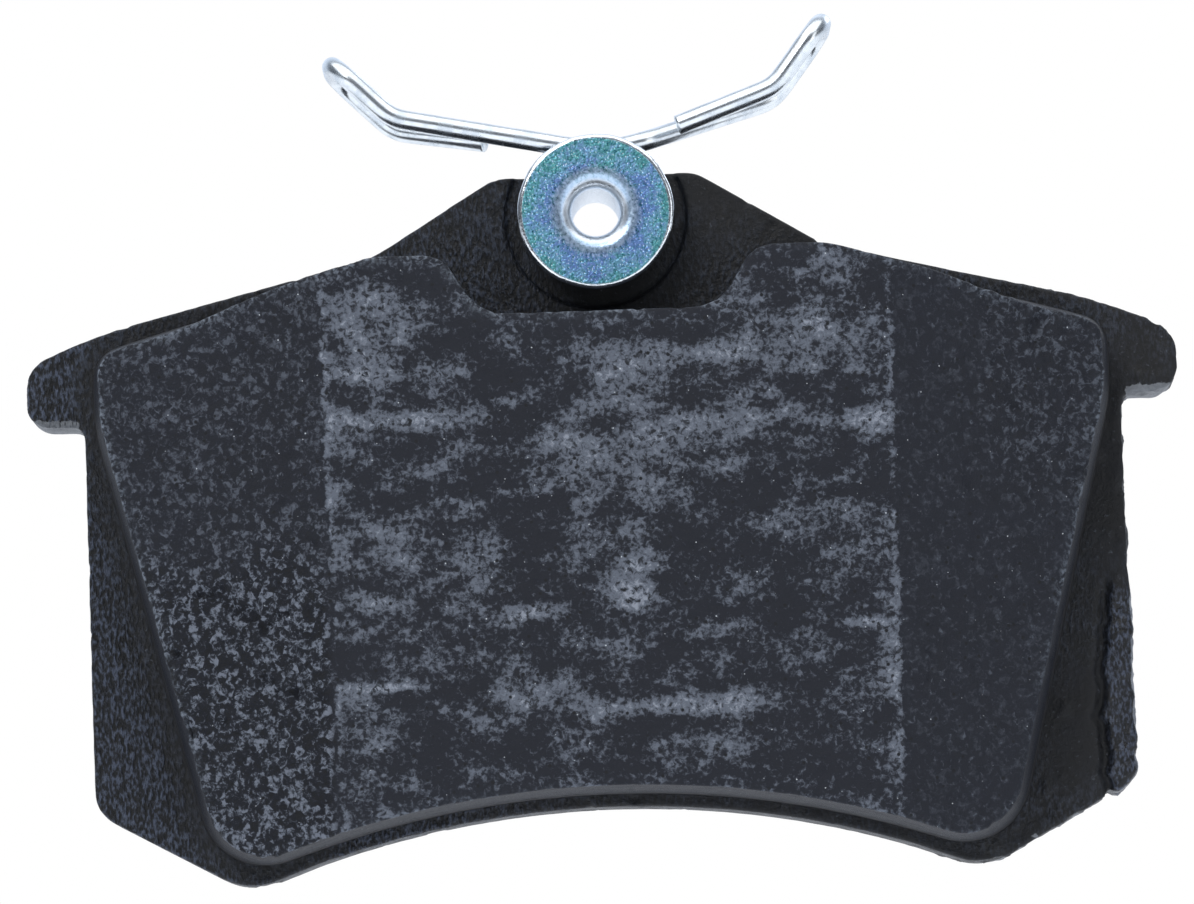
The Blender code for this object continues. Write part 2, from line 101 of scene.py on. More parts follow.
# %% [markdown]
# ## Surfaces from numbers
# A stamped plate and a moulded block are both slabs: an outline carried through the depth. The outlines are
# walked off the CAD nodes' flat faces, evened out, and the space between them is filled with small triangles, so
# that chips and grains can be real shape. Extruding a curve would be quicker, but leaves a few huge flat faces.


# %% Outlines of a CAD node
def flat_loops(node, depth):
    """The closed loops round a CAD node's flat face at this depth, as arrays of (x, z), the longest first.

    An edge of the face's triangles is on the rim if no other triangle runs along it the other way.
    """
    mesh = frame["nodes"][node].data
    mesh.calc_loop_triangles()
    points = np.empty(len(mesh.vertices) * 3, np.float32)
    mesh.vertices.foreach_get("co", points)
    corners = np.empty(len(mesh.loop_triangles) * 3, np.int32)
    mesh.loop_triangles.foreach_get("vertices", corners)
    known, index = np.unique(np.round(points.reshape(-1, 3) / MM, 3), axis=0, return_inverse=True)
    corners = index.reshape(-1)[corners].reshape(-1, 3)
    flat = corners[(abs(known[corners][:, :, 1] - depth) < 0.01).all(axis=1)]
    edges = np.concatenate([flat[:, [0, 1]], flat[:, [1, 2]], flat[:, [2, 0]]])
    codes = edges @ [len(known), 1]
    rim = edges[~np.isin(codes, edges @ [1, len(known)])]
    following = dict(rim.tolist())
    loops = []
    while following:
        start, at = following.popitem()
        walk = [start]
        while at != start:
            walk.append(at)
            at = following.pop(at)
        loops.append(known[walk][:, [0, 2]])
    return sorted(loops, key=len, reverse=True)


def turned(loop, way=1):
    """The loop run anticlockwise, or clockwise where way is -1. The shoelace sum gives the way it runs."""
    after = np.roll(loop, -1, axis=0)
    area = np.sum(loop[:, 0] * after[:, 1] - after[:, 0] * loop[:, 1])
    return loop if area * way > 0 else loop[::-1]


def evened(loop, step, soften):
    """Points a step apart along a closed loop, with its facets melted by a bell curve of width soften.

    The melting multiplies the loop's Fourier terms by exp(-2 (pi f s)^2), which is the bell curve's own transform.
    """
    closed = np.vstack([loop, loop[:1]])
    along = np.concatenate([[0], np.cumsum(np.linalg.norm(np.diff(closed, axis=0), axis=1))])
    count = round(along[-1] / step)
    at = np.linspace(0, along[-1], count, endpoint=False)
    points = np.column_stack([np.interp(at, along, closed[:, k]) for k in (0, 1)])
    waves = np.fft.fftfreq(count, along[-1] / count)
    keep = np.exp(-2 * (math.pi * waves * soften) ** 2)
    return np.fft.ifft(np.fft.fft(points, axis=0) * keep[:, None], axis=0).real


def inwards(loop, distance):
    """The loop moved into the material, which is on its left, by a distance square to it."""
    ahead = np.roll(loop, -1, axis=0) - np.roll(loop, 1, axis=0)
    left = np.column_stack([-ahead[:, 1], ahead[:, 0]])
    return loop + left / np.linalg.norm(left, axis=1, keepdims=True) * np.reshape(distance, (-1, 1))


def circle(x, z, radius, step):
    """Points a step apart on a circle, clockwise, as the rim of a hole."""
    count = round(2 * math.pi * radius / step)
    angle = -np.arange(count) / count * 2 * math.pi
    return np.column_stack([x + radius * np.cos(angle), z + radius * np.sin(angle)])


def at_depth(flat, depth):
    """Flat points (x, z) as (x, y, z). The depth y is one number, or one for each point."""
    return np.column_stack([flat[:, 0], np.broadcast_to(depth, len(flat)), flat[:, 1]])


def level(depth):
    """A flat face, as a function that gives the same depth at every (x, z)."""
    return lambda flat: np.full(len(flat), depth)


plate_loops = flat_loops("backing_plate", PLATE_BACK)
print("loops round the plate's back", [len(loop) for loop in plate_loops])

# %% [markdown]
# The fill is a lattice of equal triangles inside the outline, joined to the rim by a Delaunay triangulation, which
# picks the plumpest triangles. A fold, such as the edge of the flat, is given as points on the lattice.


# %% Fill and join
BATCH = 4000  # points handled at a time, to spare memory


def nearest(points, others):
    """Distance from each point to the nearest of some others."""
    parts = []
    for start in range(0, len(points), BATCH):
        gap = points[start : start + BATCH, None] - others[None]
        parts.append((gap**2).sum(axis=2).min(axis=1))
    return np.sqrt(np.concatenate(parts))


def enclosed(points, rims):
    """Whether each point is inside the rims: a line sideways from it crosses them an odd number of times."""
    start = np.vstack(rims)
    end = np.vstack([np.roll(rim, -1, axis=0) for rim in rims])
    rise = np.where(end[:, 1] == start[:, 1], 1.0, end[:, 1] - start[:, 1])
    slope = (end[:, 0] - start[:, 0]) / rise
    parts = []
    for first in range(0, len(points), BATCH):
        x = points[first : first + BATCH, :1]
        z = points[first : first + BATCH, 1:]
        crosses = (start[:, 1] > z) != (end[:, 1] > z)
        parts.append((crosses & (x < start[:, 0] + (z - start[:, 1]) * slope)).sum(axis=1) % 2 == 1)
    return np.concatenate(parts)


def panel(rims, step, creases=None):
    """Inner points and triangles that fill an outer rim less its holes, on a lattice of equal triangles.

    Creases are points that a fold has to run through. The triangles' corners count through the rims' points,
    then the inner ones.
    """
    edge = np.vstack(rims)
    across = np.arange(edge[:, 0].min(), edge[:, 0].max(), step)
    up = np.arange(edge[:, 1].min(), edge[:, 1].max(), step * math.sqrt(3) / 2)
    x, z = np.meshgrid(across, up)
    x = x + (np.arange(len(up)) % 2 * step / 2)[:, None]
    inner = np.column_stack([x.ravel(), z.ravel()])
    if creases is not None:
        inner = np.vstack([creases, inner[nearest(inner, creases) > step * 0.6]])
    inner = inner[enclosed(inner, rims)]
    inner = inner[nearest(inner, edge) > step * 0.45]
    sides, first = [], 0
    for rim in rims:
        ids = np.arange(first, first + len(rim))
        sides += np.column_stack([ids, np.roll(ids, -1)]).tolist()
        first += len(rim)
    flat = [Vector(point) for point in np.vstack([edge, inner]).tolist()]
    found = delaunay_2d_cdt(flat, sides, [], 1, 1e-7)
    corners = np.array([origin[0] for origin in found[3]])[np.array(found[2])]
    rim_of = np.concatenate([np.full(len(rim), k) for k, rim in enumerate(rims)] + [np.full(len(inner), 0)])
    owner = rim_of[corners]
    in_hole = (owner[:, 0] > 0) & (owner[:, 0] == owner[:, 1]) & (owner[:, 1] == owner[:, 2])
    corners = corners[~in_hole]
    a, b, c = (np.vstack([edge, inner])[corners[:, k]] for k in range(3))
    turn = (b - a)[:, 0] * (c - a)[:, 1] - (b - a)[:, 1] * (c - a)[:, 0]
    corners[turn < 0] = corners[turn < 0][:, ::-1]
    return inner, corners[turn != 0]


def strip(ids):
    """Two triangles for each cell of a grid of point numbers whose columns close round, facing out."""
    a, b = ids[:-1], np.roll(ids, -1, axis=1)[:-1]
    d, c = ids[1:], np.roll(ids, -1, axis=1)[1:]
    return np.concatenate([np.stack([a, d, c], axis=-1), np.stack([a, c, b], axis=-1)]).reshape(-1, 3)


def slab(walls, front, back, front_step, back_step, creases=None):
    """A closed body. Each wall is a grid of points, one row per depth, from the front face's rim to the back's.

    front and back give the depth y of a face at (x, z), for the points inside its rims.
    """
    ids, total = [], 0
    for wall in walls:
        ids.append(total + np.arange(wall.shape[0] * wall.shape[1]).reshape(wall.shape[:2]))
        total += ids[-1].size
    points = [wall.reshape(-1, 3) for wall in walls]
    triangles = [strip(grid) for grid in ids]
    faces = ((0, front_step, front, creases, 1), (-1, back_step, back, None, -1))
    for row, step, depth, folds, way in faces:
        inner, corners = panel([wall[row][:, [0, 2]] for wall in walls], step, folds)
        known = np.concatenate([grid[row] for grid in ids] + [total + np.arange(len(inner))])
        triangles.append(known[corners][:, ::way])
        points.append(at_depth(inner, depth(inner)))
        total += len(inner)
    return np.vstack(points), np.vstack(triangles)


# %% [markdown]
# ## Roughness that is real shape
# Noise gives lumps, and cells give grains and pits. Both are worked out for all the points at once from whole-number
# hashing, so the same chip is in the same place each time the script runs.


# %% Noise and grains
# Large primes keep neighbouring cells from looking alike.
CELL_PRIMES = np.array([73856093, 19349663, 83492791])
SEED_PRIME, LAST_PRIME = 374761393, 1274126177
LOW_BITS = 0xFFFFFF


def scatter(cells, seed):
    """A number from 0 to 1 for each whole-number cell, whose numbers are mixed by multiplying and shifting."""
    mixed = cells @ CELL_PRIMES[: cells.shape[1]] + seed * SEED_PRIME
    mixed = (mixed ^ (mixed >> 13)) * LAST_PRIME
    mixed = mixed ^ (mixed >> 16)
    return (mixed & LOW_BITS) / LOW_BITS


def lumps(points, size, seed, octaves=3):
    """Smooth noise between about -1.5 and 1.5: random heights at a lattice's corners, blended by smoothstep.

    Each octave halves the size and has 0.55 of the height of the one before.
    """
    total, height = np.zeros(len(points)), 1.0
    for octave in range(octaves):
        cell = np.floor(points / size).astype(np.int64)
        share = points / size - cell
        share = share * share * (3 - 2 * share)
        for corner in itertools.product((0, 1), repeat=points.shape[1]):
            weight = np.prod(np.where(corner, share, 1 - share), axis=1)
            total += height * weight * (2 * scatter(cell + corner, seed + octave) - 1)
        size, height = size / 2, height * 0.55
    return total


def grains(points, size, seed):
    """Rounded grains: one minus the distance, in grain sizes, to the nearest of the cells' random centres."""
    cell = np.floor(points / size).astype(np.int64)
    best = np.full(len(points), 9.0)
    for step in itertools.product((-1, 0, 1), repeat=points.shape[1]):
        at = cell + step
        centre = at + np.column_stack([scatter(at, seed + k) for k in range(points.shape[1])])
        best = np.minimum(best, np.linalg.norm(points / size - centre, axis=1))
    return 1 - best


def ease(value, start, end):
    """0 before start, 1 after end, and smoothstep between; start may be past end."""
    share = np.clip((value - start) / (end - start), 0, 1)
    return share * share * (3 - 2 * share)


line = np.column_stack([np.linspace(0, 50, 500), np.zeros(500)])
print("lumps from", lumps(line, 1.0, 1).min().round(2), "to", lumps(line, 1.0, 1).max().round(2))

# %% [markdown]
# ## From numbers to a piece
# The mesh is made once smooth. Its own normals then say which way each lump pushes, and each named value, such as
# where a rim is worn, becomes an attribute that the material reads.


# %% A piece in the scene
def make_piece(name, points, triangles, material, relief=None, marks=None):
    """A smooth-shaded mesh from points in millimetres.

    relief gives how far each point is pushed along its normal, and marks its named values for the material.
    """
    mesh = bpy.data.meshes.new(name)
    mesh.from_pydata(points * MM, [], triangles)
    if relief is not None:
        normals = np.empty(len(points) * 3, np.float32)
        mesh.vertices.foreach_get("normal", normals)
        points = points + normals.reshape(-1, 3) * relief[:, None]
        mesh.vertices.foreach_set("co", (points * MM).ravel().astype(np.float32))
    for mark, values in (marks or {}).items():
        layer = mesh.attributes.new(mark, "FLOAT", "POINT")
        layer.data.foreach_set("value", np.asarray(values, np.float32))
    mesh.materials.append(material)
    mesh.shade_smooth()
    mesh.update()
    piece = bpy.data.objects.new(name, mesh)
    bpy.context.scene.collection.objects.link(piece)
    print(name, len(points), "points", len(triangles), "triangles")
    return piece


# %% [markdown]
# ## Materials
# A material is a small network of nodes. One helper adds a node, sets it and joins it, and one function turns the
# colours, written as sRGB hex, to the linear values that the renderer mixes in.
#
# Patterns read the piece's own place in millimetres, so a noise's scale is one over the size of its lumps: 2.5 gives
# lumps of 0.4 mm. In a colour Mix node, input 0 is the share and 6 and 7 are the colours; a Map Range node takes its
# value as 0, what to map as 1 to 2, and what to map it to as 3 to 4.


# %% Helpers for materials
def linear(code):
    """Linear colour of an sRGB hex value: each channel is raised by the sRGB curve."""
    parts = [int(code[k : k + 2], 16) / 255 for k in (1, 3, 5)]
    return (*[p / 12.92 if p <= 0.04045 else ((p + 0.055) / 1.055) ** 2.4 for p in parts], 1.0)


def add(tree, kind, inputs=None, out=0, **settings):
    """Adds a node and returns one of its outputs. An input is a value to set, or an output to join."""
    made = tree.nodes.new("ShaderNode" + kind)
    for name, value in settings.items():
        setattr(made, name, value)
    for name, value in (inputs or {}).items():
        if isinstance(value, bpy.types.NodeSocket):
            tree.links.new(value, made.inputs[name])
        else:
            made.inputs[name].default_value = value
    return made.outputs[out] if len(made.outputs) else made


def begin(name):
    """A new material, its empty node tree, and the piece's own coordinates in millimetres."""
    material = bpy.data.materials.new(name)
    material.use_nodes = True
    tree = material.node_tree
    tree.nodes.clear()
    place = add(tree, "TexCoord", out="Object")
    return material, tree, add(tree, "Mapping", {"Vector": place, "Scale": (1 / MM,) * 3})


SMOOTH = {"interpolation_type": "SMOOTHSTEP"}
COLOUR = {"data_type": "RGBA"}
print("#808080 is", round(linear("#808080")[0], 3), "of full light")

# %% [markdown]
# ### Friction mix
# The block is a phenolic resin mix, pressed hot and then ground flat. Grinding leaves a dull dark slate skin with
# paler scuffs dragged sideways, and torn fibres and grit show as light flecks. The resin is matt, with an IOR near
# 1.5; flecks are about 0.3 mm, scuffs a few millimetres.


# %% Friction mix
def friction_material():
    """A dark skin, then scuffs, flakes, voids, grit, pits and the pale rim, from wear and painted highlight, laid over
    it one after another.
    """
    material, tree, mm = begin("ground_friction_mix")
    marks = ("scuff", "coarse", "wear_and_highlight", "ground")
    scuff, coarse, wear_and_highlight, ground = (add(tree, "Attribute", out="Fac", attribute_name=mark) for mark in marks)
    dragged = add(tree, "Mapping", {"Vector": mm, "Scale": (0.62, 1.0, 1.0)})
    patches = add(tree, "TexNoise", {"Vector": dragged, "Scale": 0.42, "Detail": 6.0, "Roughness": 0.68})
    grit_lumps = {"Vector": mm, "Scale": 2.4, "Detail": 5.0, "Roughness": 0.66, "Distortion": 0.5}
    grain = add(tree, "TexNoise", grit_lumps)
    # The grinder scuffs patches, and inside a patch most grains, but not the hollows between them, are pale.
    lifted = add(tree, "Math", {0: scuff, 1: 0.19, 2: patches}, operation="MULTIPLY_ADD")
    patchy = add(tree, "MapRange", {0: lifted, 1: 0.37, 2: 0.86}, **SMOOTH)
    scuffed = add(tree, "Math", {0: patchy, 1: ground}, operation="MULTIPLY")
    raised = add(tree, "Math", {0: scuffed, 1: 0.42, 2: grain}, operation="MULTIPLY_ADD")
    pale = add(tree, "MapRange", {0: raised, 1: 0.58, 2: 0.84}, **SMOOTH)
    bright = add(tree, "MapRange", {0: raised, 1: 0.86, 2: 1.02}, **SMOOTH)
    # Where the mix is coarse it breaks into pale flakes with dark voids between.
    cells = add(tree, "TexVoronoi", {"Vector": mm, "Scale": 1.5}, "Color")
    broken = add(tree, "Math", {0: cells, 1: 0.22, 2: grain}, operation="MULTIPLY_ADD")
    flake = add(tree, "MapRange", {0: broken, 1: 0.60, 2: 0.78}, **SMOOTH)
    flake = add(tree, "Math", {0: flake, 1: coarse}, operation="MULTIPLY")
    hollow = add(tree, "MapRange", {0: broken, 1: 0.58, 2: 0.46}, **SMOOTH)
    either = add(tree, "Math", {0: coarse, 1: scuffed}, operation="MAXIMUM")
    hollow = add(tree, "Math", {0: hollow, 1: either}, operation="MULTIPLY")
    # Bare grit shows as single white specks, and lost grit as small dark pits.
    grit = add(tree, "TexVoronoi", {"Vector": mm, "Scale": 1.3})
    speck = add(tree, "MapRange", {0: grit, 1: 0.085, 2: 0.05}, **SMOOTH)
    some = add(tree, "MapRange", {0: grain, 1: 0.5, 2: 0.6}, **SMOOTH)
    speck = add(tree, "Math", {0: speck, 1: some}, operation="MULTIPLY")
    pits = add(tree, "TexVoronoi", {"Vector": mm, "Scale": 0.9})
    pits = add(tree, "MapRange", {0: pits, 1: 0.16, 2: 0.08}, **SMOOTH)
    # The pale rim is partly wear and partly a painted highlight along the edge.
    rubbed = add(tree, "MapRange", {0: grain, 1: 0.42, 2: 0.6}, **SMOOTH)
    rubbed = add(tree, "Math", {0: rubbed, 1: wear_and_highlight}, operation="MULTIPLY")
    colour = add(tree, "Mix", {0: patches, 6: linear("#11141c"), 7: linear("#1a1e29")}, 2, **COLOUR)
    shares = (pale, bright, flake, hollow, speck, pits, rubbed)
    codes = ("#5d636e", "#878d98", "#767d8a", "#15171c", "#c3c8ce", "#101217", "#7e8793")
    for share, code in zip(shares, codes):
        colour = add(tree, "Mix", {0: share, 6: colour, 7: linear(code)}, 2, **COLOUR)
    rough = add(tree, "MapRange", {0: raised, 1: 0.4, 2: 0.9, 3: 0.6, 4: 0.78})
    fine = add(tree, "TexNoise", {"Vector": mm, "Scale": 5.0, "Detail": 5.0, "Roughness": 0.65})
    height = add(tree, "Math", {0: grain, 1: 1.5, 2: fine}, operation="MULTIPLY_ADD")
    strength = add(tree, "MapRange", {0: coarse, 1: 0.0, 2: 1.0, 3: 0.4, 4: 1.0})
    bump = add(tree, "Bump", {"Strength": strength, "Distance": 0.0002, "Height": height})
    look = {"Base Color": colour, "Roughness": rough, "Specular IOR Level": 0.3, "Normal": bump}
    add(tree, "OutputMaterial", {"Surface": add(tree, "BsdfPrincipled", look)})
    return material


friction_mix = friction_material()
print(friction_mix.name, "has", len(friction_mix.node_tree.nodes), "nodes")

# %% [markdown]
# ### Friction block
# The block is pressed in a mould, so its walls lean in a little towards the friction face; at the two ends they
# lean more. A grinder then cuts the flat and a lead-in slope at each end. The rim of every depth is the foot's
# outline moved inwards by the lean, and the top rim is where that meets the flat and the slopes.

# %% Shape of the friction face
FLAT_HALF = 21.1  # half the flat's width
FLAT_SHIFT = 0.5  # the grinder ran this far off the middle
SLOPE = math.tan(math.radians(17))
TOE = math.tan(math.radians(0.75))  # the slopes' edges close up towards the bottom


def past_edge(x, z):
    """Millimetres sideways past the edge of the flat; negative on the flat."""
    return abs(x - FLAT_SHIFT) - FLAT_HALF - z * TOE


def face_depth(flat):
    """Depth y of the friction face: the ground plane, and past its edges the lead-in slopes."""
    return FACE + np.maximum(past_edge(flat[:, 0], flat[:, 1]), 0) * SLOPE


BLOCK_STEP = 0.26
ROUND = 0.22  # radius of the block's worn rim
DRAFT = math.tan(math.radians(1.3))  # so that the block leaves its mould
END_DRAFT = 0.118  # more of it at the two ends
foot = evened(turned(flat_loops("friction_lining", LINING_FOOT)[0]), 0.25, 0.45)
lean = DRAFT + ease(abs(foot[:, 0]), 24, 33) * END_DRAFT


def block_ring(depth, extra=0.0):
    """The block's outline at a depth y, which may differ from point to point, moved in by extra."""
    return inwards(foot, (LINING_FOOT - depth) * lean + extra)


def block_wall():
    """The rounded rim, then the leaning wall down to the underlayer, as rows of (x, y, z)."""
    top = np.full(len(foot), FACE)
    for _ in range(6):  # the rim's place and its depth settle together
        top = face_depth(block_ring(top))
    rows = []
    for angle in np.linspace(0, math.pi / 2, 5):
        depth = top + ROUND * (1 - math.cos(angle))
        rows.append(at_depth(block_ring(depth, ROUND * (1 - math.sin(angle))), depth))
    for share in np.linspace(0, 1, 22)[1:]:
        depth = top + ROUND + (LAYER_FRONT - top - ROUND) * share
        rows.append(at_depth(block_ring(depth), depth))
    return np.array(rows)


block_side = block_wall()
rim_line = block_side[2][::2, [0, 2]]
heights = np.arange(-25.5, 20, 0.2)
edges = [FLAT_SHIFT + way * (FLAT_HALF + heights * TOE) for way in (-1, 1)]
folds = np.vstack([np.column_stack([across, heights]) for across in edges])
block_points, block_triangles = slab([block_side], face_depth, level(LAYER_FRONT), BLOCK_STEP, 2.0, folds)
print("friction block", len(block_points), "points")

# %% [markdown]
# The grinder drags pale scuffs sideways over the flat, and the mix tears where it is coarse. Each scuff is a soft
# ellipse: middle x and z, half length, half height and strength. Marks like these are easiest to place one by one.

# %% Scuffs, grain and chips on the block
SCUFFS = (
    (-17.0, 13.5, 4.0, 4.0, 0.9), (-14.5, 10.6, 5.0, 0.7, 0.9), (-16.0, 7.1, 5.2, 0.8, 1.5),
    (15.0, 6.4, 7.5, 0.8, 0.9), (19.6, 5.9, 2.4, 0.8, 1.5), (1.2, 10.2, 2.4, 2.6, 1.2),
    (7.0, 11.4, 3.2, 1.2, 1.2), (15.5, 14.0, 4.6, 3.6, 0.8), (13.6, 11.2, 2.8, 1.4, 0.9),
    (2.0, 3.2, 5.0, 2.6, 0.9), (-3.0, 5.0, 5.0, 1.4, 0.6), (7.0, 7.0, 5.0, 2.0, 0.6),
    (-16.4, -2.2, 3.2, 2.8, 0.8), (-10.0, -4.0, 4.0, 3.0, 0.5), (-17.6, -6.3, 2.6, 0.6, 1.6),
    (1.5, -3.8, 2.4, 3.2, 0.8), (2.0, -6.6, 1.6, 0.7, 1.4), (-5.8, -7.6, 2.6, 0.7, 1.3),
    (17.0, -1.0, 2.0, 2.4, 0.8), (19.2, -9.0, 2.2, 0.4, 1.4), (6.0, -9.6, 2.0, 0.8, 0.8),
    (-16.6, -12.7, 3.2, 0.4, 1.5), (-8.0, -13.4, 2.6, 1.0, 1.1), (3.5, -14.8, 6.0, 0.8, 1.3),
    (9.6, -14.2, 1.8, 1.2, 1.3), (-2.0, -13.0, 4.0, 3.0, 0.5), (18.6, -4.0, 2.4, 2.0, 0.5),
    (-18.4, -17.0, 2.0, 4.0, 0.6), (4.0, -17.5, 6.0, 1.0, 0.5), (-19.6, 2.0, 1.0, 6.0, 0.5),
    (20.6, -14.0, 0.8, 8.0, 0.5),
)


def block_marks(points):
    """Values from 0 to 1 or so: scuffed, coarse, ground by the flat's grinder, and the pale rim, which is wear and
    painted highlight.
    """
    x, z = points[:, 0], points[:, 2]
    top = face_depth(points[:, [0, 2]])
    on_top = ease(points[:, 1], top + 0.7, top + 0.3)
    ragged = lumps(points, 1.1, 5) * 0.28
    ground = ease(past_edge(x, z) + ragged, 0.15, -0.15) * on_top
    scuff = np.zeros(len(points))
    for middle, height, half, tall, strength in SCUFFS:
        away = ((x - middle) / half) ** 2 + ((z - height) / tall) ** 2
        scuff += strength * np.exp(-away)
    # The grinder bites hardest along the flat's edges, and the mix is coarsest at the lower left.
    scuff += np.exp(-((past_edge(x, z) / 0.5) ** 2)) * (1.0 + 0.6 * lumps(points, 2.4, 6)) * ease(x, 110, -30)
    low_left = ease(x, -20.2, -21.4) * ease(z + 2.5 * lumps(points, 5, 7), 1.0, -9.0)
    upper_right = ease(x + lumps(points, 4, 8), 27, 31) * ease(z + 2 * lumps(points, 4, 9), -2.0, 5.0)
    left = ease(x, -20.2, -21.4)
    coarse = np.clip(low_left + 0.2 * upper_right + 0.32 * left + 0.10 * ease(x, 21, 22.5), 0, 1) * on_top
    # The pale rim: wear, and a painted highlight where the edge catches the light, more on the left and less at the
    # bottom.
    rim = np.exp(-nearest_rim(points) / 0.22) * on_top
    wear_and_highlight = rim * np.clip(0.35 + 0.65 * ease(x, 10, -30) + 0.7 * lumps(points, 3.0, 12), 0, 1)
    wear_and_highlight = wear_and_highlight * (1 - 0.6 * ease(z, -14, -19))
    return {"scuff": scuff, "coarse": coarse, "ground": ground, "wear_and_highlight": wear_and_highlight}


def nearest_rim(points):
    """Distance in plan from each point to the block's rim, which matters only near it."""
    return nearest(points[:, [0, 2]], rim_line)


def block_relief(points, marks):
    """How far each point stands out: grains less torn voids, less pits on the flat, less chips along the rims."""
    flat = points[:, [0, 2]]
    coarse = marks["coarse"] * (1 + 2.5 * ease(points[:, 0], 20, 28))
    rise = coarse * (0.16 * grains(flat, 0.85, 21) + 0.08 * lumps(points, 0.7, 22, 2) - 0.10)
    void = ease(lumps(points, 1.7, 24), 0.62, 0.95) * coarse
    rise -= 0.28 * void
    rise += 0.012 * lumps(points, 2.5, 25)
    pits = ease(grains(flat, 2.1, 26), 0.80, 0.93) * ease(lumps(points, 6, 27), -0.1, 0.4)
    rise -= 0.10 * pits
    near = np.exp(-nearest_rim(points) / 0.30)
    rise -= near * 0.10 * ease(lumps(points, 1.3, 28), 0.15, 0.7)
    fold = np.exp(-((past_edge(points[:, 0], points[:, 2]) / 0.25) ** 2))
    rise -= fold * 0.05 * ease(lumps(points, 0.9, 29), 0.0, 0.6)
    return rise


marks = block_marks(block_points)
relief = block_relief(block_points, marks)
block = make_piece("friction_block", block_points, block_triangles, friction_mix, relief, marks)
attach(block, "pad")
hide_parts("friction_lining")

# %% [markdown]
# ### Underlayer
# Between the block and the plate lies a thin bonding layer of the same resin, finer and darker, which also fills the
# two anchor holes. Its edge shows as a smooth, slightly shiny line at the block's foot, and its plugs from behind.


# %% Underlayer
def underlayer_material():
    """Cloudy near-black resin with small grey specks."""
    material, tree, mm = begin("moulded_underlayer_resin")
    cloud = add(tree, "TexNoise", {"Vector": mm, "Scale": 0.9, "Detail": 6.0, "Roughness": 0.65})
    grit = add(tree, "TexNoise", {"Vector": mm, "Scale": 4.0, "Detail": 3.0})
    share = add(tree, "MapRange", {0: cloud, 1: 0.35, 2: 0.7}, **SMOOTH)
    colour = add(tree, "Mix", {0: share, 6: linear("#121317"), 7: linear("#1e2026")}, 2, **COLOUR)
    specks = add(tree, "MapRange", {0: grit, 1: 0.62, 2: 0.74}, **SMOOTH)
    colour = add(tree, "Mix", {0: specks, 6: colour, 7: linear("#3b3f47")}, 2, **COLOUR)
    rough = add(tree, "MapRange", {0: cloud, 1: 0.3, 2: 0.7, 3: 0.5, 4: 0.75})
    bump = add(tree, "Bump", {"Strength": 0.4, "Distance": 0.0001, "Height": grit})
    look = {"Base Color": colour, "Roughness": rough, "IOR": 1.5, "Normal": bump}
    add(tree, "OutputMaterial", {"Surface": add(tree, "BsdfPrincipled", look)})
    return material


ANCHOR_RADIUS = 4.0
HOLE_STEP = 0.3
PLUG_ROUND = 0.25
PLUG_SUNK = 0.35  # how far a plug's end stays below the plate's back
anchors = [loop.mean(axis=0) for loop in plate_loops if abs(np.ptp(loop[:, 0]) - 2 * ANCHOR_RADIUS) < 0.1]
print("anchor holes at", [point.round(1).tolist() for point in anchors])


def disc_walls(centre, radius, front, back):
    """Rows of a round plug's side, with a rounded rim at its back."""
    rim = circle(*centre, radius, HOLE_STEP)[::-1]
    rows = [at_depth(rim, y) for y in np.linspace(front, back - PLUG_ROUND, 6)]
    for angle in np.linspace(0, math.pi / 2, 5)[1:]:
        flat = inwards(rim, PLUG_ROUND * (1 - math.cos(angle)))
        rows.append(at_depth(flat, back - PLUG_ROUND + PLUG_ROUND * math.sin(angle)))
    return np.array(rows)


def underlayer():
    """The layer's slab and its two plugs, whose rough ends stand a little below the plate's back."""
    base = inwards(foot, (LINING_FOOT - PLATE_FRONT) * lean)
    depths = np.linspace(LAYER_FRONT, PLATE_FRONT, 8)
    side = np.array([at_depth(inwards(base, (PLATE_FRONT - y) * lean), y) for y in depths])
    parts = [slab([side], level(LAYER_FRONT), level(PLATE_FRONT), 2.5, 2.5)]
    plug_start, plug_end = PLATE_FRONT - 0.5, PLATE_BACK - PLUG_SUNK
    for centre in anchors:
        side = disc_walls(centre, ANCHOR_RADIUS - 0.02, plug_start, plug_end)
        parts.append(slab([side], level(plug_start), level(plug_end), 2.0, 0.25))
    points, triangles, total = [], [], 0
    for some, corners in parts:
        points.append(some)
        triangles.append(corners + total)
        total += len(some)
    points, triangles = np.vstack(points), np.vstack(triangles)
    end = ease(points[:, 1], plug_end - 0.4, plug_end - 0.1)
    relief = end * (0.10 * lumps(points, 1.4, 41) - 0.12 * ease(lumps(points, 1.0, 42), 0.3, 0.8))
    layer = make_piece("underlayer", points, triangles, underlayer_material(), relief)
    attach(layer, "pad")
    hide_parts("bonding_underlayer")


underlayer()

# %% [markdown]
# ### Black coat
# The plate is stamped steel with a sprayed and baked black coat. Such a coat is satin, with an IOR near 1.5, and
# dries with a skin like orange peel about 0.7 mm across. It runs thick and lumpy along some edges, chips off at
# others, and the ears' undersides are rubbed to the bare steel.


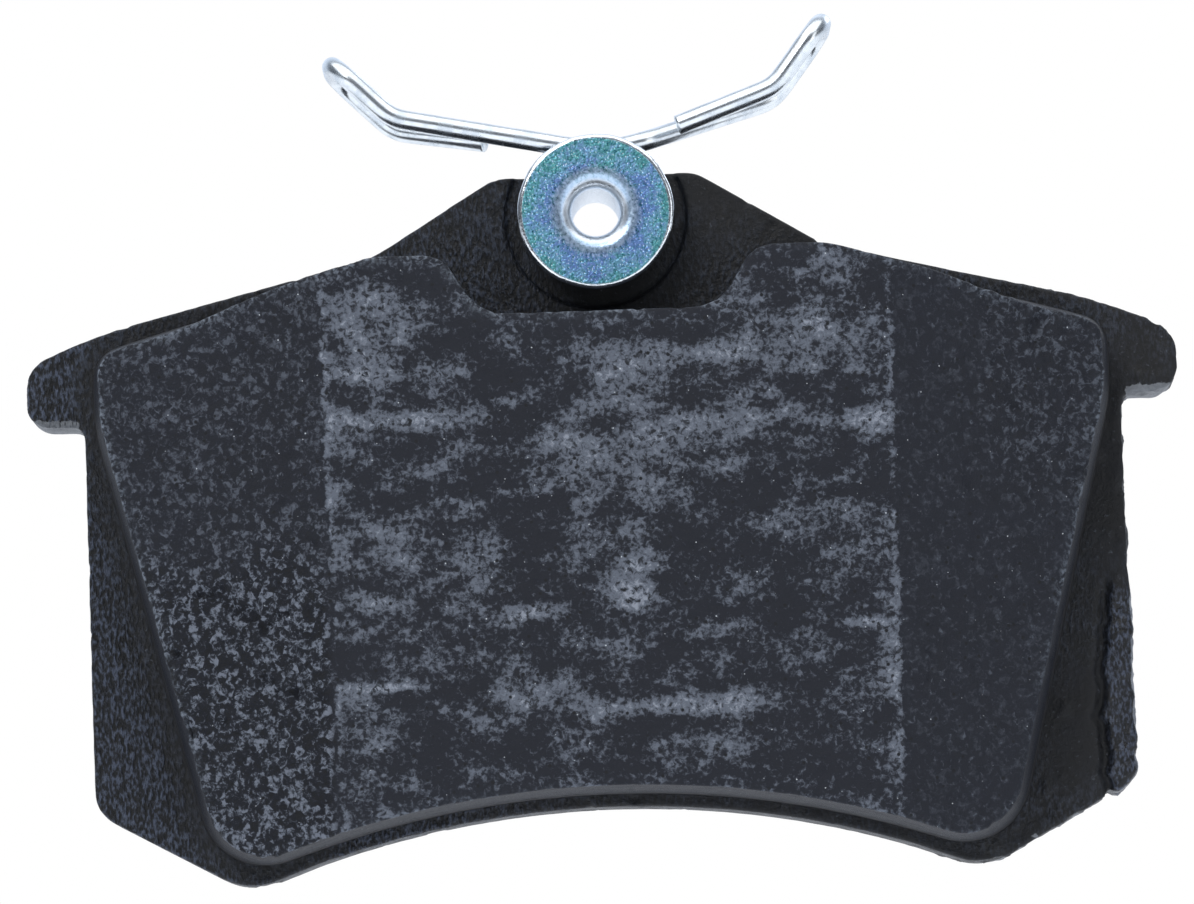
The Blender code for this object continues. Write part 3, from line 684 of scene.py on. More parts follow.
# %% Black coat
def coat_material():
    """Black skin with greyer crests, painted glints on the thick coat, dust, and bare steel where the coat is gone."""
    material, tree, mm = begin("satin_black_coat_on_steel")
    marks = ("bare", "thick_with_glints", "pebbled_and_shade")
    bare, thick_with_glints, pebbled_and_shade = (add(tree, "Attribute", out="Fac", attribute_name=mark) for mark in marks)
    upright = add(tree, "Mapping", {"Vector": mm, "Scale": (1.0, 1.0, 0.45)})
    cloud = add(tree, "TexNoise", {"Vector": mm, "Scale": 0.35, "Detail": 6.0, "Roughness": 0.6})
    peel = add(tree, "TexNoise", {"Vector": upright, "Scale": 4.6, "Detail": 3.0, "Roughness": 0.55})
    dust = add(tree, "TexNoise", {"Vector": mm, "Scale": 2.6, "Detail": 4.0, "Roughness": 0.7})
    share = add(tree, "MapRange", {0: cloud, 1: 0.3, 2: 0.72}, **SMOOTH)
    black = add(tree, "Mix", {0: share, 6: linear("#08090b"), 7: linear("#101217")}, 2, **COLOUR)
    # Where the skin is pebbled its crests are greyer, fewer beside the block as painted shade; on the thick coat they
    # are painted glints.
    crest = add(tree, "MapRange", {0: peel, 1: 0.42, 2: 0.70}, **SMOOTH)
    skin = add(tree, "Math", {0: thick_with_glints, 1: 0.8, 2: pebbled_and_shade}, operation="MULTIPLY_ADD")
    crest = add(tree, "Math", {0: crest, 1: skin}, operation="MULTIPLY")
    dusty = add(tree, "MapRange", {0: dust, 1: 0.60, 2: 0.76, 3: 0.0, 4: 0.6}, **SMOOTH)
    # The coat flakes off in spots first and then everywhere, as the bare value rises.
    spotty = add(tree, "Math", {0: dust, 1: 1.2, 2: bare}, operation="MULTIPLY_ADD")
    flaked = add(tree, "MapRange", {0: spotty, 1: 1.05, 2: 1.2}, **SMOOTH)
    where = add(tree, "MapRange", {0: bare, 1: 0.05, 2: 0.2}, **SMOOTH)
    flaked = add(tree, "Math", {0: flaked, 1: where}, operation="MULTIPLY")
    steel = add(tree, "Mix", {0: dust, 6: linear("#505358"), 7: linear("#8a8e93")}, 2, **COLOUR)
    colour = black
    for share, over in ((crest, linear("#4b5364")), (dusty, linear("#565c67")), (flaked, steel)):
        colour = add(tree, "Mix", {0: share, 6: colour, 7: over}, 2, **COLOUR)
    metal = add(tree, "Math", {0: flaked, 1: 0.75}, operation="MULTIPLY")
    rough = add(tree, "MapRange", {0: cloud, 1: 0.3, 2: 0.7, 3: 0.42, 4: 0.58})
    rough = add(tree, "Math", {0: thick_with_glints, 1: -0.2, 2: rough}, operation="MULTIPLY_ADD")
    depth = add(tree, "MapRange", {0: pebbled_and_shade, 1: 0.0, 2: 1.0, 3: 0.05, 4: 1.8})
    faint = add(tree, "Math", {0: dust, 1: 0.5}, operation="MULTIPLY")
    height = add(tree, "Math", {0: peel, 1: depth, 2: faint}, operation="MULTIPLY_ADD")
    bump = add(tree, "Bump", {"Strength": 0.9, "Distance": 0.00022, "Height": height})
    look = {"Base Color": colour, "Metallic": metal, "Roughness": rough, "Normal": bump}
    look["Specular IOR Level"] = 0.35
    add(tree, "OutputMaterial", {"Surface": add(tree, "BsdfPrincipled", look)})
    return material


black_coat = coat_material()
print(black_coat.name, "has", len(black_coat.node_tree.nodes), "nodes")

# %% [markdown]
# ### Backing plate
# The plate is blanked from 5.5 mm steel: its front edge is rounded by the punch, and a ring is coined round the
# rivet's hole to seat the spring. The ring and the lumps of the coat are all heights over the flat face, so one
# function of (x, z) gives the front, and the wall's rows start wherever that puts the rim.

# %% Plate
PLATE_STEP = 0.30
RING_RADIUS = 6.87
RING_DEPTH = 0.40
HOLE_RADIUS = 2.6
PUNCH_ROUND = 0.22
BACK_BEVEL = 0.12  # the back's outline, which is the one walked off, is this much smaller
around = plate_loops[0]
clear = np.hypot(around[:, 0], around[:, 1] - RIVET_Z) > 3.5  # leaves out the rivet's hole
outline = inwards(evened(turned(around[clear]), 0.27, 0.35), -BACK_BEVEL)


def front_depth(flat):
    """Depth of the plate's front at (x, z): its plane, sunk inside the coined ring."""
    away = np.hypot(flat[:, 0], flat[:, 1] - RIVET_Z)
    return PLATE_FRONT + RING_DEPTH * ease(away, RING_RADIUS + 0.07, RING_RADIUS - 0.07)


def plate_wall(loop, rounding, rows):
    """A wall of the plate: a rounded front rim, straight rows and a smaller rounding at the back."""
    made = []
    for angle in np.linspace(0, math.pi / 2, 5):
        flat = inwards(loop, rounding * (1 - math.sin(angle)))
        made.append((flat, front_depth(flat) + rounding * (1 - math.cos(angle))))
    start = front_depth(loop) + rounding
    end = PLATE_BACK - rounding / 2
    made += [(loop, start + (end - start) * share) for share in np.linspace(0, 1, rows)[1:]]
    for angle in np.linspace(0, math.pi / 2, 4)[1:]:
        flat = inwards(loop, rounding / 2 * (1 - math.cos(angle)))
        made.append((flat, end + rounding / 2 * math.sin(angle)))
    return np.array([at_depth(flat, depth) for flat, depth in made])


def plate_marks(points):
    """Where the coat is pebbled, turned down beside the block as painted shade, where it is thick, with painted
    glints, and where it is rubbed or chipped off.

    Each is a product of eased bands across the plate, in millimetres, broken up by lumps.
    """
    x, depth, z = points.T
    pebbled_and_shade = np.clip(ease(x, 6, -30) + 0.12 + 0.3 * lumps(points, 9, 51), 0, 1) * ease(depth, -1.6, -5.0)
    # Beside the block's left end the pebbled crests fade, which darkens the coat: painted shade from the block, with a
    # smoother skin.
    shade_by_block = ease(nearest(points[:, [0, 2]], foot[::4]), 2.8, 0.5) * ease(x, -18, -24)
    pebbled_and_shade = pebbled_and_shade * (1 - 0.8 * shade_by_block)
    seam = 37.2 + 0.5 * lumps(points[:, [2]], 5, 52) + 0.25 * lumps(points[:, [2]], 1.6, 53)
    low = ease(z, -5, -8) * ease(z, -23, -21.5)
    thick_with_glints = ease(x, seam, seam + 0.35) * low
    crack = np.exp(-(((x - seam + 0.25) / 0.3) ** 2)) * low
    rim = ease(edge_distance(points), 0.9, 0.2)
    under_ear = ease(abs(x), 39.2, 39.8) * ease(z, 9.1, 8.75) * 0.7
    chips = rim * ease(lumps(points, 2.2, 54), 0.25, 0.6) * ease(x + 0.9 * z, 2, 10) * ease(z, -18, -21) * 0.8
    bottom = ease(z, -19.5, -21.5) * ease(depth, -5.9, -5.4) * 0.42
    ear_face = ease(z, 12.0, 9.3) * rim * ease(abs(x), 39.0, 40.0) * 0.35
    bare = np.clip(under_ear + chips + bottom + ear_face, 0, 1)
    return {"pebbled_and_shade": pebbled_and_shade, "thick_with_glints": np.clip(thick_with_glints, 0, 1), "bare": bare, "crack": crack}


def edge_distance(points):
    """Distance in plan from each point to the plate's outline."""
    return nearest(points[:, [0, 2]], outline[::3])


def plate_relief(points, marks):
    """Orange peel, the lumpy edge of thick coat with the crack along it, runs of coat and chips."""
    x, z = points[:, 0], points[:, 2]
    rise = 0.03 * lumps(points * [1, 1, 0.6], 0.6, 61, 2) * (0.25 + marks["pebbled_and_shade"])
    near = ease(edge_distance(points), 1.6, 0.1)
    rough_edge = ease(x, 26, 33) * near
    rise += rough_edge * (0.10 * np.maximum(lumps(points, 1.4, 62), -0.2) + 0.04)
    crust = 0.16 * lumps(points, 1.6, 63, 2) + 0.14 * grains(points, 0.8, 66)
    rise += marks["thick_with_glints"] * (0.14 + crust)
    rise -= 0.55 * marks["crack"]
    rise -= 0.15 * near * ease(lumps(points, 1.9, 64), 0.45, 0.8)
    rise += 0.14 * ease(x, 20, 26) * ease(lumps(points, 1.2, 65, 2), 0.5, 0.9)
    keep = ease(np.hypot(x, z - RIVET_Z), HOLE_RADIUS + 0.2, RING_RADIUS + 0.6)
    return rise * keep


def backing_plate():
    """The slab inside the outline less its three holes, with creases where the coined ring starts."""
    holes = [circle(0, RIVET_Z, HOLE_RADIUS, HOLE_STEP)]
    holes += [circle(*centre, ANCHOR_RADIUS, HOLE_STEP) for centre in anchors]
    walls = [plate_wall(outline, PUNCH_ROUND, 16)] + [plate_wall(hole, 0.1, 8) for hole in holes]
    rings = [circle(0, RIVET_Z, RING_RADIUS + gap, 0.16) for gap in (-0.12, 0.0, 0.12)]
    points, triangles = slab(walls, front_depth, level(PLATE_BACK), PLATE_STEP, 0.7, np.vstack(rings))
    marks = plate_marks(points)
    relief = plate_relief(points, marks)
    plate = make_piece("coated_plate", points, triangles, black_coat, relief, marks)
    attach(plate, "pad")
    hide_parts("backing_plate")


backing_plate()

# %% [markdown]
# ### Noise shim
# A thin steel shim with a rubber skin is glued to the plate's back, where the piston pushes. Rubber skins are matt,
# with an IOR near 1.52 and a fine pebble of about 0.4 mm; the cut edge shows a line of steel.


# %% Noise shim
def shim_material():
    """Cloudy black rubber with dry streaks and dust, and steel along the cut edge."""
    material, tree, mm = begin("rubber_skinned_steel")
    cut, rubbed = (add(tree, "Attribute", out="Fac", attribute_name=mark) for mark in ("cut", "rubbed"))
    cloud = add(tree, "TexNoise", {"Vector": mm, "Scale": 0.12, "Detail": 7.0, "Roughness": 0.62})
    pebble = add(tree, "TexVoronoi", {"Vector": mm, "Scale": 2.4})
    sideways = add(tree, "Mapping", {"Vector": mm, "Scale": (0.10, 1.0, 1.4)})
    streak = add(tree, "TexNoise", {"Vector": sideways, "Scale": 0.8, "Detail": 6.0, "Roughness": 0.7})
    dust = add(tree, "TexNoise", {"Vector": mm, "Scale": 1.5, "Detail": 5.0, "Roughness": 0.7})
    # Dry streaks, and a broken ring where a caliper's piston has rubbed.
    ring = add(tree, "Math", {0: rubbed, 1: 0.16, 2: streak}, operation="MULTIPLY_ADD")
    streak = add(tree, "MapRange", {0: ring, 1: 0.56, 2: 0.76, 3: 0.0, 4: 0.7}, **SMOOTH)
    dusty = add(tree, "MapRange", {0: dust, 1: 0.62, 2: 0.76, 3: 0.0, 4: 0.6}, **SMOOTH)
    bared = add(tree, "MapRange", {0: cut, 1: 0.4, 2: 0.7}, **SMOOTH)
    share = add(tree, "MapRange", {0: cloud, 1: 0.35, 2: 0.68}, **SMOOTH)
    colour = add(tree, "Mix", {0: share, 6: linear("#141519"), 7: linear("#26282e")}, 2, **COLOUR)
    for share, code in ((streak, "#50545c"), (dusty, "#6a6e76"), (bared, "#83878c")):
        colour = add(tree, "Mix", {0: share, 6: colour, 7: linear(code)}, 2, **COLOUR)
    metal = add(tree, "Math", {0: bared, 1: 0.9}, operation="MULTIPLY")
    rough = add(tree, "MapRange", {0: streak, 1: 0.0, 2: 0.7, 3: 0.66, 4: 0.5})
    bump = add(tree, "Bump", {"Strength": 0.4, "Distance": 0.0001, "Height": pebble})
    look = {"Base Color": colour, "Metallic": metal, "Roughness": rough, "IOR": 1.52, "Normal": bump}
    add(tree, "OutputMaterial", {"Surface": add(tree, "BsdfPrincipled", look)})
    return material


# How the blanked edge rolls over towards the back: share of the thickness, and millimetres in from the outline.
SHIM_EDGE = ((0, 0.05), (0.06, 0.0), (0.35, 0.0), (0.65, 0.0), (0.86, 0.02), (0.96, 0.09), (1, 0.2))
SHIM_THICK = SHIM_BACK - PLATE_BACK


def noise_shim():
    """The slab inside the shim's own outlines, seated on the plate, with a rolled edge."""
    loops = flat_loops("noise_shim", SHIM_BACK)
    rims = [evened(turned(loops[0]), 0.3, 0.5)] + [evened(turned(loop, -1), 0.3, 0.3) for loop in loops[1:]]
    walls = []
    for rim in rims:
        rows = [at_depth(inwards(rim, inset), PLATE_BACK + SHIM_THICK * share) for share, inset in SHIM_EDGE]
        walls.append(np.array(rows))
    points, triangles = slab(walls, level(PLATE_BACK), level(SHIM_BACK), 1.6, 0.5)
    middle = (points[:, 1] > PLATE_BACK + 0.2) & (points[:, 1] < SHIM_BACK - 0.25)
    outer = points[:, 1] > SHIM_BACK - 0.3
    relief = outer * (0.02 * lumps(points, 5, 71) - 0.03)
    away = np.hypot(points[:, 0], points[:, 2] - 0.5)
    rubbed = np.exp(-(((away - 15.5) / 1.3) ** 2)) * (0.8 + 0.5 * lumps(points, 6, 72))
    marks = {"cut": middle, "rubbed": rubbed * outer}
    shim = make_piece("rubber_shim", points, triangles, shim_material(), relief, marks)
    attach(shim, "pad")
    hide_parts("noise_shim")


noise_shim()

# %% [markdown]
# ### Blue zinc
# The rivet is steel, zinc plated and blue passivated: a thin clear film tints the zinc between teal, blue and violet,
# grain by grain. Real grains are finer than can show, so they are drawn about 0.2 to 0.3 mm wide. The setting tool
# polishes a ring round the bore. Zinc is a metal, with a roughness of 0.3 or so where it is dull and half that where
# it was pressed.


# %% Blue zinc
def zinc_material():
    """Metal tinted by two sizes of noise and by the distance from the axis, nearly white where pressed."""
    material, tree, mm = begin("blue_passivated_zinc")
    centred = add(tree, "Mapping", {"Vector": mm, "Location": (0, 0, -RIVET_Z)})
    plan = add(tree, "VectorMath", {0: centred, 1: (1, 0, 1)}, operation="MULTIPLY")
    radius = add(tree, "VectorMath", {0: plan}, "Value", operation="LENGTH")
    grain = add(tree, "TexVoronoi", {"Vector": mm, "Scale": 5.0})
    hue = add(tree, "TexNoise", {"Vector": mm, "Scale": 0.6, "Detail": 5.0, "Roughness": 0.7})
    fine = add(tree, "TexNoise", {"Vector": mm, "Scale": 3.4, "Detail": 5.0, "Roughness": 0.7})
    # The film is thinner and teal towards the rim, thicker and blue to violet further in.
    inward = add(tree, "MapRange", {0: radius, 1: 5.6, 2: 3.4, 3: -0.05, 4: 0.12})
    tint = add(tree, "Math", {0: fine, 1: 0.8, 2: hue}, operation="MULTIPLY_ADD")
    tint = add(tree, "Math", {0: tint, 1: inward}, operation="ADD")
    blue = add(tree, "MapRange", {0: tint, 1: 0.80, 2: 0.93}, **SMOOTH)
    violet = add(tree, "MapRange", {0: tint, 1: 0.92, 2: 1.06}, **SMOOTH)
    dark = add(tree, "MapRange", {0: fine, 1: 0.51, 2: 0.38, 3: 0.0, 4: 0.8}, **SMOOTH)
    bright = add(tree, "MapRange", {0: grain, 1: 0.26, 2: 0.08, 3: 0.0, 4: 0.6}, **SMOOTH)
    # Pressed smooth round the bore and at the rim.
    pressed = add(tree, "MapRange", {0: radius, 1: 3.9, 2: 2.7}, **SMOOTH)
    rim = add(tree, "MapRange", {0: radius, 1: 5.48, 2: 5.6}, **SMOOTH)
    smooth = add(tree, "Math", {0: pressed, 1: rim}, operation="MAXIMUM")
    uncleared = add(tree, "MapRange", {0: fine, 1: 0.6, 2: 0.4, 3: 0.0, 4: 0.5})
    cleared = add(tree, "Math", {0: pressed, 1: uncleared}, operation="SUBTRACT", use_clamp=True)
    bore = add(tree, "MapRange", {0: radius, 1: 2.6, 2: 2.2}, **SMOOTH)
    cleaned = add(tree, "Math", {0: bore, 1: rim}, operation="MAXIMUM")
    colour = linear("#579699")
    shares = (blue, violet, dark, bright, cleared, cleaned)
    for share, code in zip(shares, ("#74a1bf", "#6583b8", "#2f6478", "#f2f8ff", "#c4daf0", "#eef4fa")):
        colour = add(tree, "Mix", {0: share, 6: colour, 7: linear(code)}, 2, **COLOUR)
    rough = add(tree, "MapRange", {0: fine, 1: 0.3, 2: 0.7, 3: 0.24, 4: 0.40})
    rough = add(tree, "Math", {0: rim, 1: -0.14, 2: rough}, operation="MULTIPLY_ADD")
    height = add(tree, "Math", {0: grain, 1: fine}, operation="ADD")
    strength = add(tree, "MapRange", {0: smooth, 1: 0.0, 2: 1.0, 3: 0.6, 4: 0.08})
    bump = add(tree, "Bump", {"Strength": strength, "Distance": 0.00008, "Height": height})
    look = {"Base Color": colour, "Metallic": 1.0, "Roughness": rough, "Normal": bump}
    add(tree, "OutputMaterial", {"Surface": add(tree, "BsdfPrincipled", look)})
    return material


# %% [markdown]
# ### Hollow rivet
# A turned surface: a profile of (radius, depth) is carried round the axis. The profile's corners are rounded by arcs,
# as on the real rivet, whose flange is upset from the tube and whose tail is rolled over behind the plate. Blender's
# Screw modifier could turn the profile too, but numbers let the flange's rim wobble as a pressed one does.


# %% Paths with rounded corners
TURN_STEP = math.radians(4)


def rounded(corners, radii):
    """A path through corners, each replaced by an arc of its radius that meets both straight runs."""
    corners = np.array(corners, float)
    pieces = [corners[:1]]
    for before, corner, after, radius in zip(corners, corners[1:], corners[2:], radii[1:]):
        back = (before - corner) / np.linalg.norm(before - corner)
        ahead = (after - corner) / np.linalg.norm(after - corner)
        turn = math.pi - math.acos(np.clip(back @ ahead, -1, 1))
        if radius == 0 or turn < 0.01:
            pieces.append(corner[None])
            continue
        start = corner + back * radius * math.tan(turn / 2)
        middle = corner + (back + ahead) / np.linalg.norm(back + ahead) * radius / math.cos(turn / 2)
        angles = np.linspace(0, turn, max(3, math.ceil(turn / TURN_STEP) + 1))[:, None]
        pieces.append(middle + (start - middle) * np.cos(angles) - back * radius * np.sin(angles))
    pieces.append(corners[-1:])
    return np.vstack(pieces)


def spaced(path, step):
    """Points about a step apart along an open path, its ends kept."""
    along = np.concatenate([[0], np.cumsum(np.linalg.norm(np.diff(path, axis=0), axis=1))])
    at = np.linspace(0, along[-1], max(2, round(along[-1] / step) + 1))
    return np.column_stack([np.interp(at, along, path[:, k]) for k in range(path.shape[1])])


# %% Rivet
FLANGE = (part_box("hollow_rivet")[1][0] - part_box("hollow_rivet")[0][0]) / MM / 2
BORE = 1.8
COLLAR, SHANK, TAIL = 3.65, 2.55, 4.68  # radii behind the flange, in the plate's hole and of the rolled tail
MID_BORE = -4.0  # where the profile starts and ends, inside the bore
RIVET_SIDES = 288
WOBBLE = ((0.03, 2, 0.6), (0.018, 5, 2.0), (0.012, 11, 0.0))  # millimetres, waves round the rim and their turn


def hollow_rivet():
    """Corners given as radius, depth and rounding, turned round the axis; the flange's radius wobbles."""
    seat = PLATE_FRONT + RING_DEPTH - 0.02
    corners = (
        (BORE, MID_BORE, 0), (BORE, FLANGE_FRONT, 1.2), (FLANGE, FLANGE_FRONT + 0.02, 0.32),
        (FLANGE - 0.03, FLANGE_FRONT + 0.98, 0.3), (COLLAR, FLANGE_FRONT + 1.0, 0.1), (COLLAR, seat, 0),
        (SHANK, seat, 0), (SHANK, PLATE_BACK + 0.02, 0), (TAIL, PLATE_BACK + 0.05, 0.15),
        (4.6, TAIL_BACK - 0.1, 0.25), (3.4, TAIL_BACK, 0.8), (BORE, TAIL_BACK - 0.05, 0.6), (BORE, MID_BORE, 0),
    )
    profile = spaced(rounded([c[:2] for c in corners], [c[2] for c in corners]), 0.13)[:-1]
    angle = np.arange(RIVET_SIDES) / RIVET_SIDES * 2 * math.pi
    radius = profile[:, :1] * np.ones(RIVET_SIDES)
    out = ease(profile[:, :1], 4.2, FLANGE)
    wobble = sum(height * np.sin(waves * angle + turn) for height, waves, turn in WOBBLE)
    radius = radius + out * wobble * (profile[:, 1:] < -8)
    across, up = radius * np.cos(angle), RIVET_Z + radius * np.sin(angle)
    grid = np.stack([across, profile[:, 1:] + 0 * angle, up], axis=-1)
    ids = np.arange(grid.shape[0] * RIVET_SIDES).reshape(grid.shape[:2])
    triangles = strip(np.vstack([ids, ids[:1]]))[:, ::-1]
    points = grid.reshape(-1, 3)
    face = ease(points[:, 1], -9.5, -10.4) * ease(np.hypot(points[:, 0], points[:, 2] - RIVET_Z), 3.3, 4.4)
    relief = face * 0.012 * lumps(points, 0.5, 81, 2) + 0.006 * lumps(points, 1.5, 82)
    rivet = make_piece("zinc_rivet", points, triangles, zinc_material(), relief)
    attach(rivet, "pad")
    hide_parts("hollow_rivet")


hollow_rivet()

# %% [markdown]
# ### Spring wire
# The spring is one bright drawn wire. Drawing leaves fine lines along it, and bending leaves it nearly mirror
# smooth, so it is almost white where it sees the lights and dark blue-grey below. A wire is a circle carried along a
# path; its own UV map runs the lines along it.


# %% Spring wire
def wire_material():
    """Bright metal, a little cloudy, with duller lines stretched along the wire."""
    material, tree, mm = begin("bright_drawn_spring_wire")
    along = add(tree, "UVMap", uv_map="along")
    drawn = add(tree, "Mapping", {"Vector": along, "Scale": (60.0, 0.6, 1.0)})
    lines = add(tree, "TexNoise", {"Vector": drawn, "Scale": 1.0, "Detail": 4.0, "Roughness": 0.6})
    cloud = add(tree, "TexNoise", {"Vector": mm, "Scale": 0.8, "Detail": 5.0, "Roughness": 0.6})
    share = add(tree, "MapRange", {0: cloud, 1: 0.35, 2: 0.7}, **SMOOTH)
    colour = add(tree, "Mix", {0: share, 6: linear("#e9eef2"), 7: linear("#cdd6de")}, 2, **COLOUR)
    dull = add(tree, "MapRange", {0: lines, 1: 0.55, 2: 0.75, 3: 0.0, 4: 0.5}, **SMOOTH)
    colour = add(tree, "Mix", {0: dull, 6: colour, 7: linear("#a9b4bf")}, 2, **COLOUR)
    rough = add(tree, "MapRange", {0: cloud, 1: 0.3, 2: 0.7, 3: 0.18, 4: 0.32})
    bump = add(tree, "Bump", {"Strength": 0.15, "Distance": 0.00003, "Height": lines})
    look = {"Base Color": colour, "Metallic": 1.0, "Roughness": rough, "Normal": bump}
    add(tree, "OutputMaterial", {"Surface": add(tree, "BsdfPrincipled", look)})
    return material


spring_wire = wire_material()
print(spring_wire.name, "has", len(spring_wire.node_tree.nodes), "nodes")

# %% [markdown]
# ### Spring
# The wire turns once round the rivet, behind its flange, and leaves it at each side as a leg. Each leg rises, bends up
# into a wing, crosses over towards the piston side and comes back as a free leg. The corners are listed and rounded.
# The one wire is drawn as two halves that meet under the rivet.


# %% The wire's route
WIRE_RADIUS = 0.75
WIRE_SIDES = 28
EYE_RADIUS = 4.7
NEAR_LAYER = FLANGE_FRONT + 1.0 + 0.3 + WIRE_RADIUS
FAR_LAYER = NEAR_LAYER + 1.6
MEETING_LAYER = (NEAR_LAYER + FAR_LAYER) / 2
FAR_LEG = NEAR_LAYER + 8.0
TILT = math.radians(4.4)  # the spring has swivelled a little
LEG_RISE = math.radians(15.6)
WING_RISE = math.radians(48.5)
WING_LENGTH = 6.2
LEG_REACH = 14.5
TIP_REACH = LEG_REACH + WING_LENGTH * math.cos(WING_RISE)
ROOT_REACH = 5.7  # where a wing's hinge is
LEG_DROP = {-1: 0.0, 1: 0.8}


def leg_height(reach, side):
    """Height of a leg's centreline above the rivet's axis, at a sideways reach."""
    return EYE_RADIUS / math.cos(LEG_RISE) - LEG_DROP[side] + reach * math.tan(LEG_RISE)


def placed(route):
    """The spring's own points turned by its tilt and put on the rivet's axis."""
    x, y, z = route.T
    across = x * math.cos(TILT) - z * math.sin(TILT)
    return np.column_stack([across, y, x * math.sin(TILT) + z * math.cos(TILT) + RIVET_Z])


def eye_arc(start, end, first, last):
    """The wire's turn round the rivet between two angles, stepping back in depth from first to last."""
    angle = np.linspace(start, end, 60)
    depth = np.linspace(first, last, 60)
    return np.column_stack([EYE_RADIUS * np.cos(angle), depth, EYE_RADIUS * np.sin(angle)])


def wing(side, joined, free, end_reach, end_depth):
    """Corners of a hairpin wing: out along its joined leg, across the tip and back to the free end."""
    bend, tip = leg_height(LEG_REACH, side), leg_height(LEG_REACH, side) + WING_LENGTH * math.sin(WING_RISE)
    return [
        (side * LEG_REACH, joined, bend),
        (side * TIP_REACH, joined, tip),
        (side * TIP_REACH, free, tip),
        (side * LEG_REACH, free, bend),
        (side * end_reach, end_depth, leg_height(end_reach, side)),
    ]


WING_RADII = [3.0, 2.0, 2.0, 3.0, 0.0]
bottom = -math.pi / 2
left_turn = eye_arc(bottom, math.pi / 2 - LEG_RISE, MEETING_LAYER, NEAR_LAYER)
left_corners = [left_turn[-1], *wing(-1, NEAR_LAYER, FAR_LEG, 7.7, NEAR_LAYER + 5.5)]
left_route = np.vstack([left_turn, rounded(left_corners, [0.0] + WING_RADII)[1:]])
right_turn = eye_arc(bottom, math.pi / 2 + LEG_RISE - 2 * math.pi, MEETING_LAYER, FAR_LAYER)
lead = (ROOT_REACH - 1.5, FAR_LAYER, leg_height(ROOT_REACH - 1.5, 1))
right_corners = [right_turn[-1], lead, *wing(1, FAR_LEG, NEAR_LAYER, 6.9, NEAR_LAYER)]
right_route = np.vstack([right_turn, rounded(right_corners, [0.0, 3.0] + WING_RADII)[1:]])
for name, route in (("left", left_route), ("right", right_route)):
    print(name, "half of the wire is", np.linalg.norm(np.diff(route, axis=0), axis=1).sum().round(1), "mm long")


def melted(path, width):
    """An open path smoothed by a bell curve of this many points, its ends held by mirroring past them."""
    reach = int(width * 3)
    bell = np.exp(-0.5 * (np.arange(-reach, reach + 1) / width) ** 2)
    before = 2 * path[0] - path[reach:0:-1]
    after = 2 * path[-1] - path[-2 : -reach - 2 : -1]
    long = np.vstack([before, path, after])
    return np.column_stack([np.convolve(long[:, k], bell / bell.sum(), "valid") for k in range(3)])


# %% [markdown]
# A curve with a round bevel would make the wire as well, but its rings can twist and its ends are flat. Here each ring
# is turned as little as can be from the one before, and the ends are domed as by a cutter.


# %% Wire tubes
def tube(path, radius, sides):
    """A wire: rings square to the path, each turned as little as can be from the last, and domed ends."""
    tangent = np.gradient(path, axis=0)
    tangent /= np.linalg.norm(tangent, axis=1, keepdims=True)
    up = np.cross(tangent[0], (0.3, 1.0, 0.2))
    ups = []
    for way in tangent:
        up = up - way * (up @ way)
        up = up / np.linalg.norm(up)
        ups.append(up)
    ups = np.array(ups)
    sides_way = np.cross(tangent, ups)
    ends = [(-0.10, 0.0), (-0.09, 0.45), (-0.06, 0.8), (0.0, 0.97)]
    first = [path[0] + tangent[0] * along for along, _ in ends]
    last = [path[-1] - tangent[-1] * along for along, _ in ends[::-1]]
    centres = np.vstack([first, path, last])
    girth = np.concatenate([[r for _, r in ends], np.ones(len(path)), [r for _, r in ends[::-1]]]) * radius
    girth = np.maximum(girth, 1e-3)
    pad = [(len(ends), len(ends)), (0, 0)]
    ups, sides_way = np.pad(ups, pad, "edge"), np.pad(sides_way, pad, "edge")
    angle = np.arange(sides) / sides * 2 * math.pi
    ring = ups[:, None] * np.cos(angle)[:, None] + sides_way[:, None] * np.sin(angle)[:, None]
    grid = centres[:, None] + ring * girth[:, None, None]
    ids = np.arange(grid.shape[0] * sides).reshape(grid.shape[:2])
    caps = [np.column_stack([ids[0], np.roll(ids[0], 1), np.full(sides, ids.size)])]
    caps.append(np.column_stack([ids[-1], np.roll(ids[-1], -1), np.full(sides, ids.size + 1)]))
    points = np.vstack([grid.reshape(-1, 3), centres[:1], centres[-1:]])
    return points, np.vstack([strip(ids)] + caps), grid.shape[0]


def wire_piece(name, route, replaced):
    """Half of the spring: its route smoothed and drawn as a tube, with a UV map along it, standing in for the replaced
    nodes.
    """
    path = melted(spaced(route, 0.16), 2.0)
    points, triangles, rows = tube(placed(path), WIRE_RADIUS, WIRE_SIDES)
    relief = 0.006 * lumps(points, 1.2, 91)
    piece = make_piece(name, points, triangles, spring_wire, relief)
    uv = piece.data.uv_layers.new(name="along")
    loops = np.empty(len(piece.data.loops), np.int32)
    piece.data.loops.foreach_get("vertex_index", loops)
    around, down = loops % WIRE_SIDES / WIRE_SIDES, loops // WIRE_SIDES / rows
    uv.data.foreach_set("uv", np.column_stack([around, down * 10]).ravel().astype(np.float32))
    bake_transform(piece)
    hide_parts(*replaced)


wire_piece("wire_left", left_route, ["spring_eye", "spring_left_wing"])
wire_piece("wire_right", right_route, ["spring_right_wing"])

# %% [markdown]
# ## Light, floor and camera
# A white cove: a pale floor, a white surround that the camera sees, and soft boxes. The big one above and to the left
# models the block's grain and lights the wires; a weaker one on the right keeps its side from going black. The pad
# hangs over the floor as if held in its bracket.


# %% Studio
AIM = (0, 0, 0.005)
SOFT_BOXES = (  # name, place and size in metres, power in watts
    ("key", (-0.42, -0.85, 0.62), (0.45, 0.45), 3.4),
    ("fill", (0.75, -0.7, 0.1), (0.4, 0.6), 0.9),
    ("ceiling", (0.0, -0.35, 0.85), (1.8, 1.2), 9.0),
    ("rear", (0.7, 0.8, 0.6), (0.5, 0.5), 1.5),
)


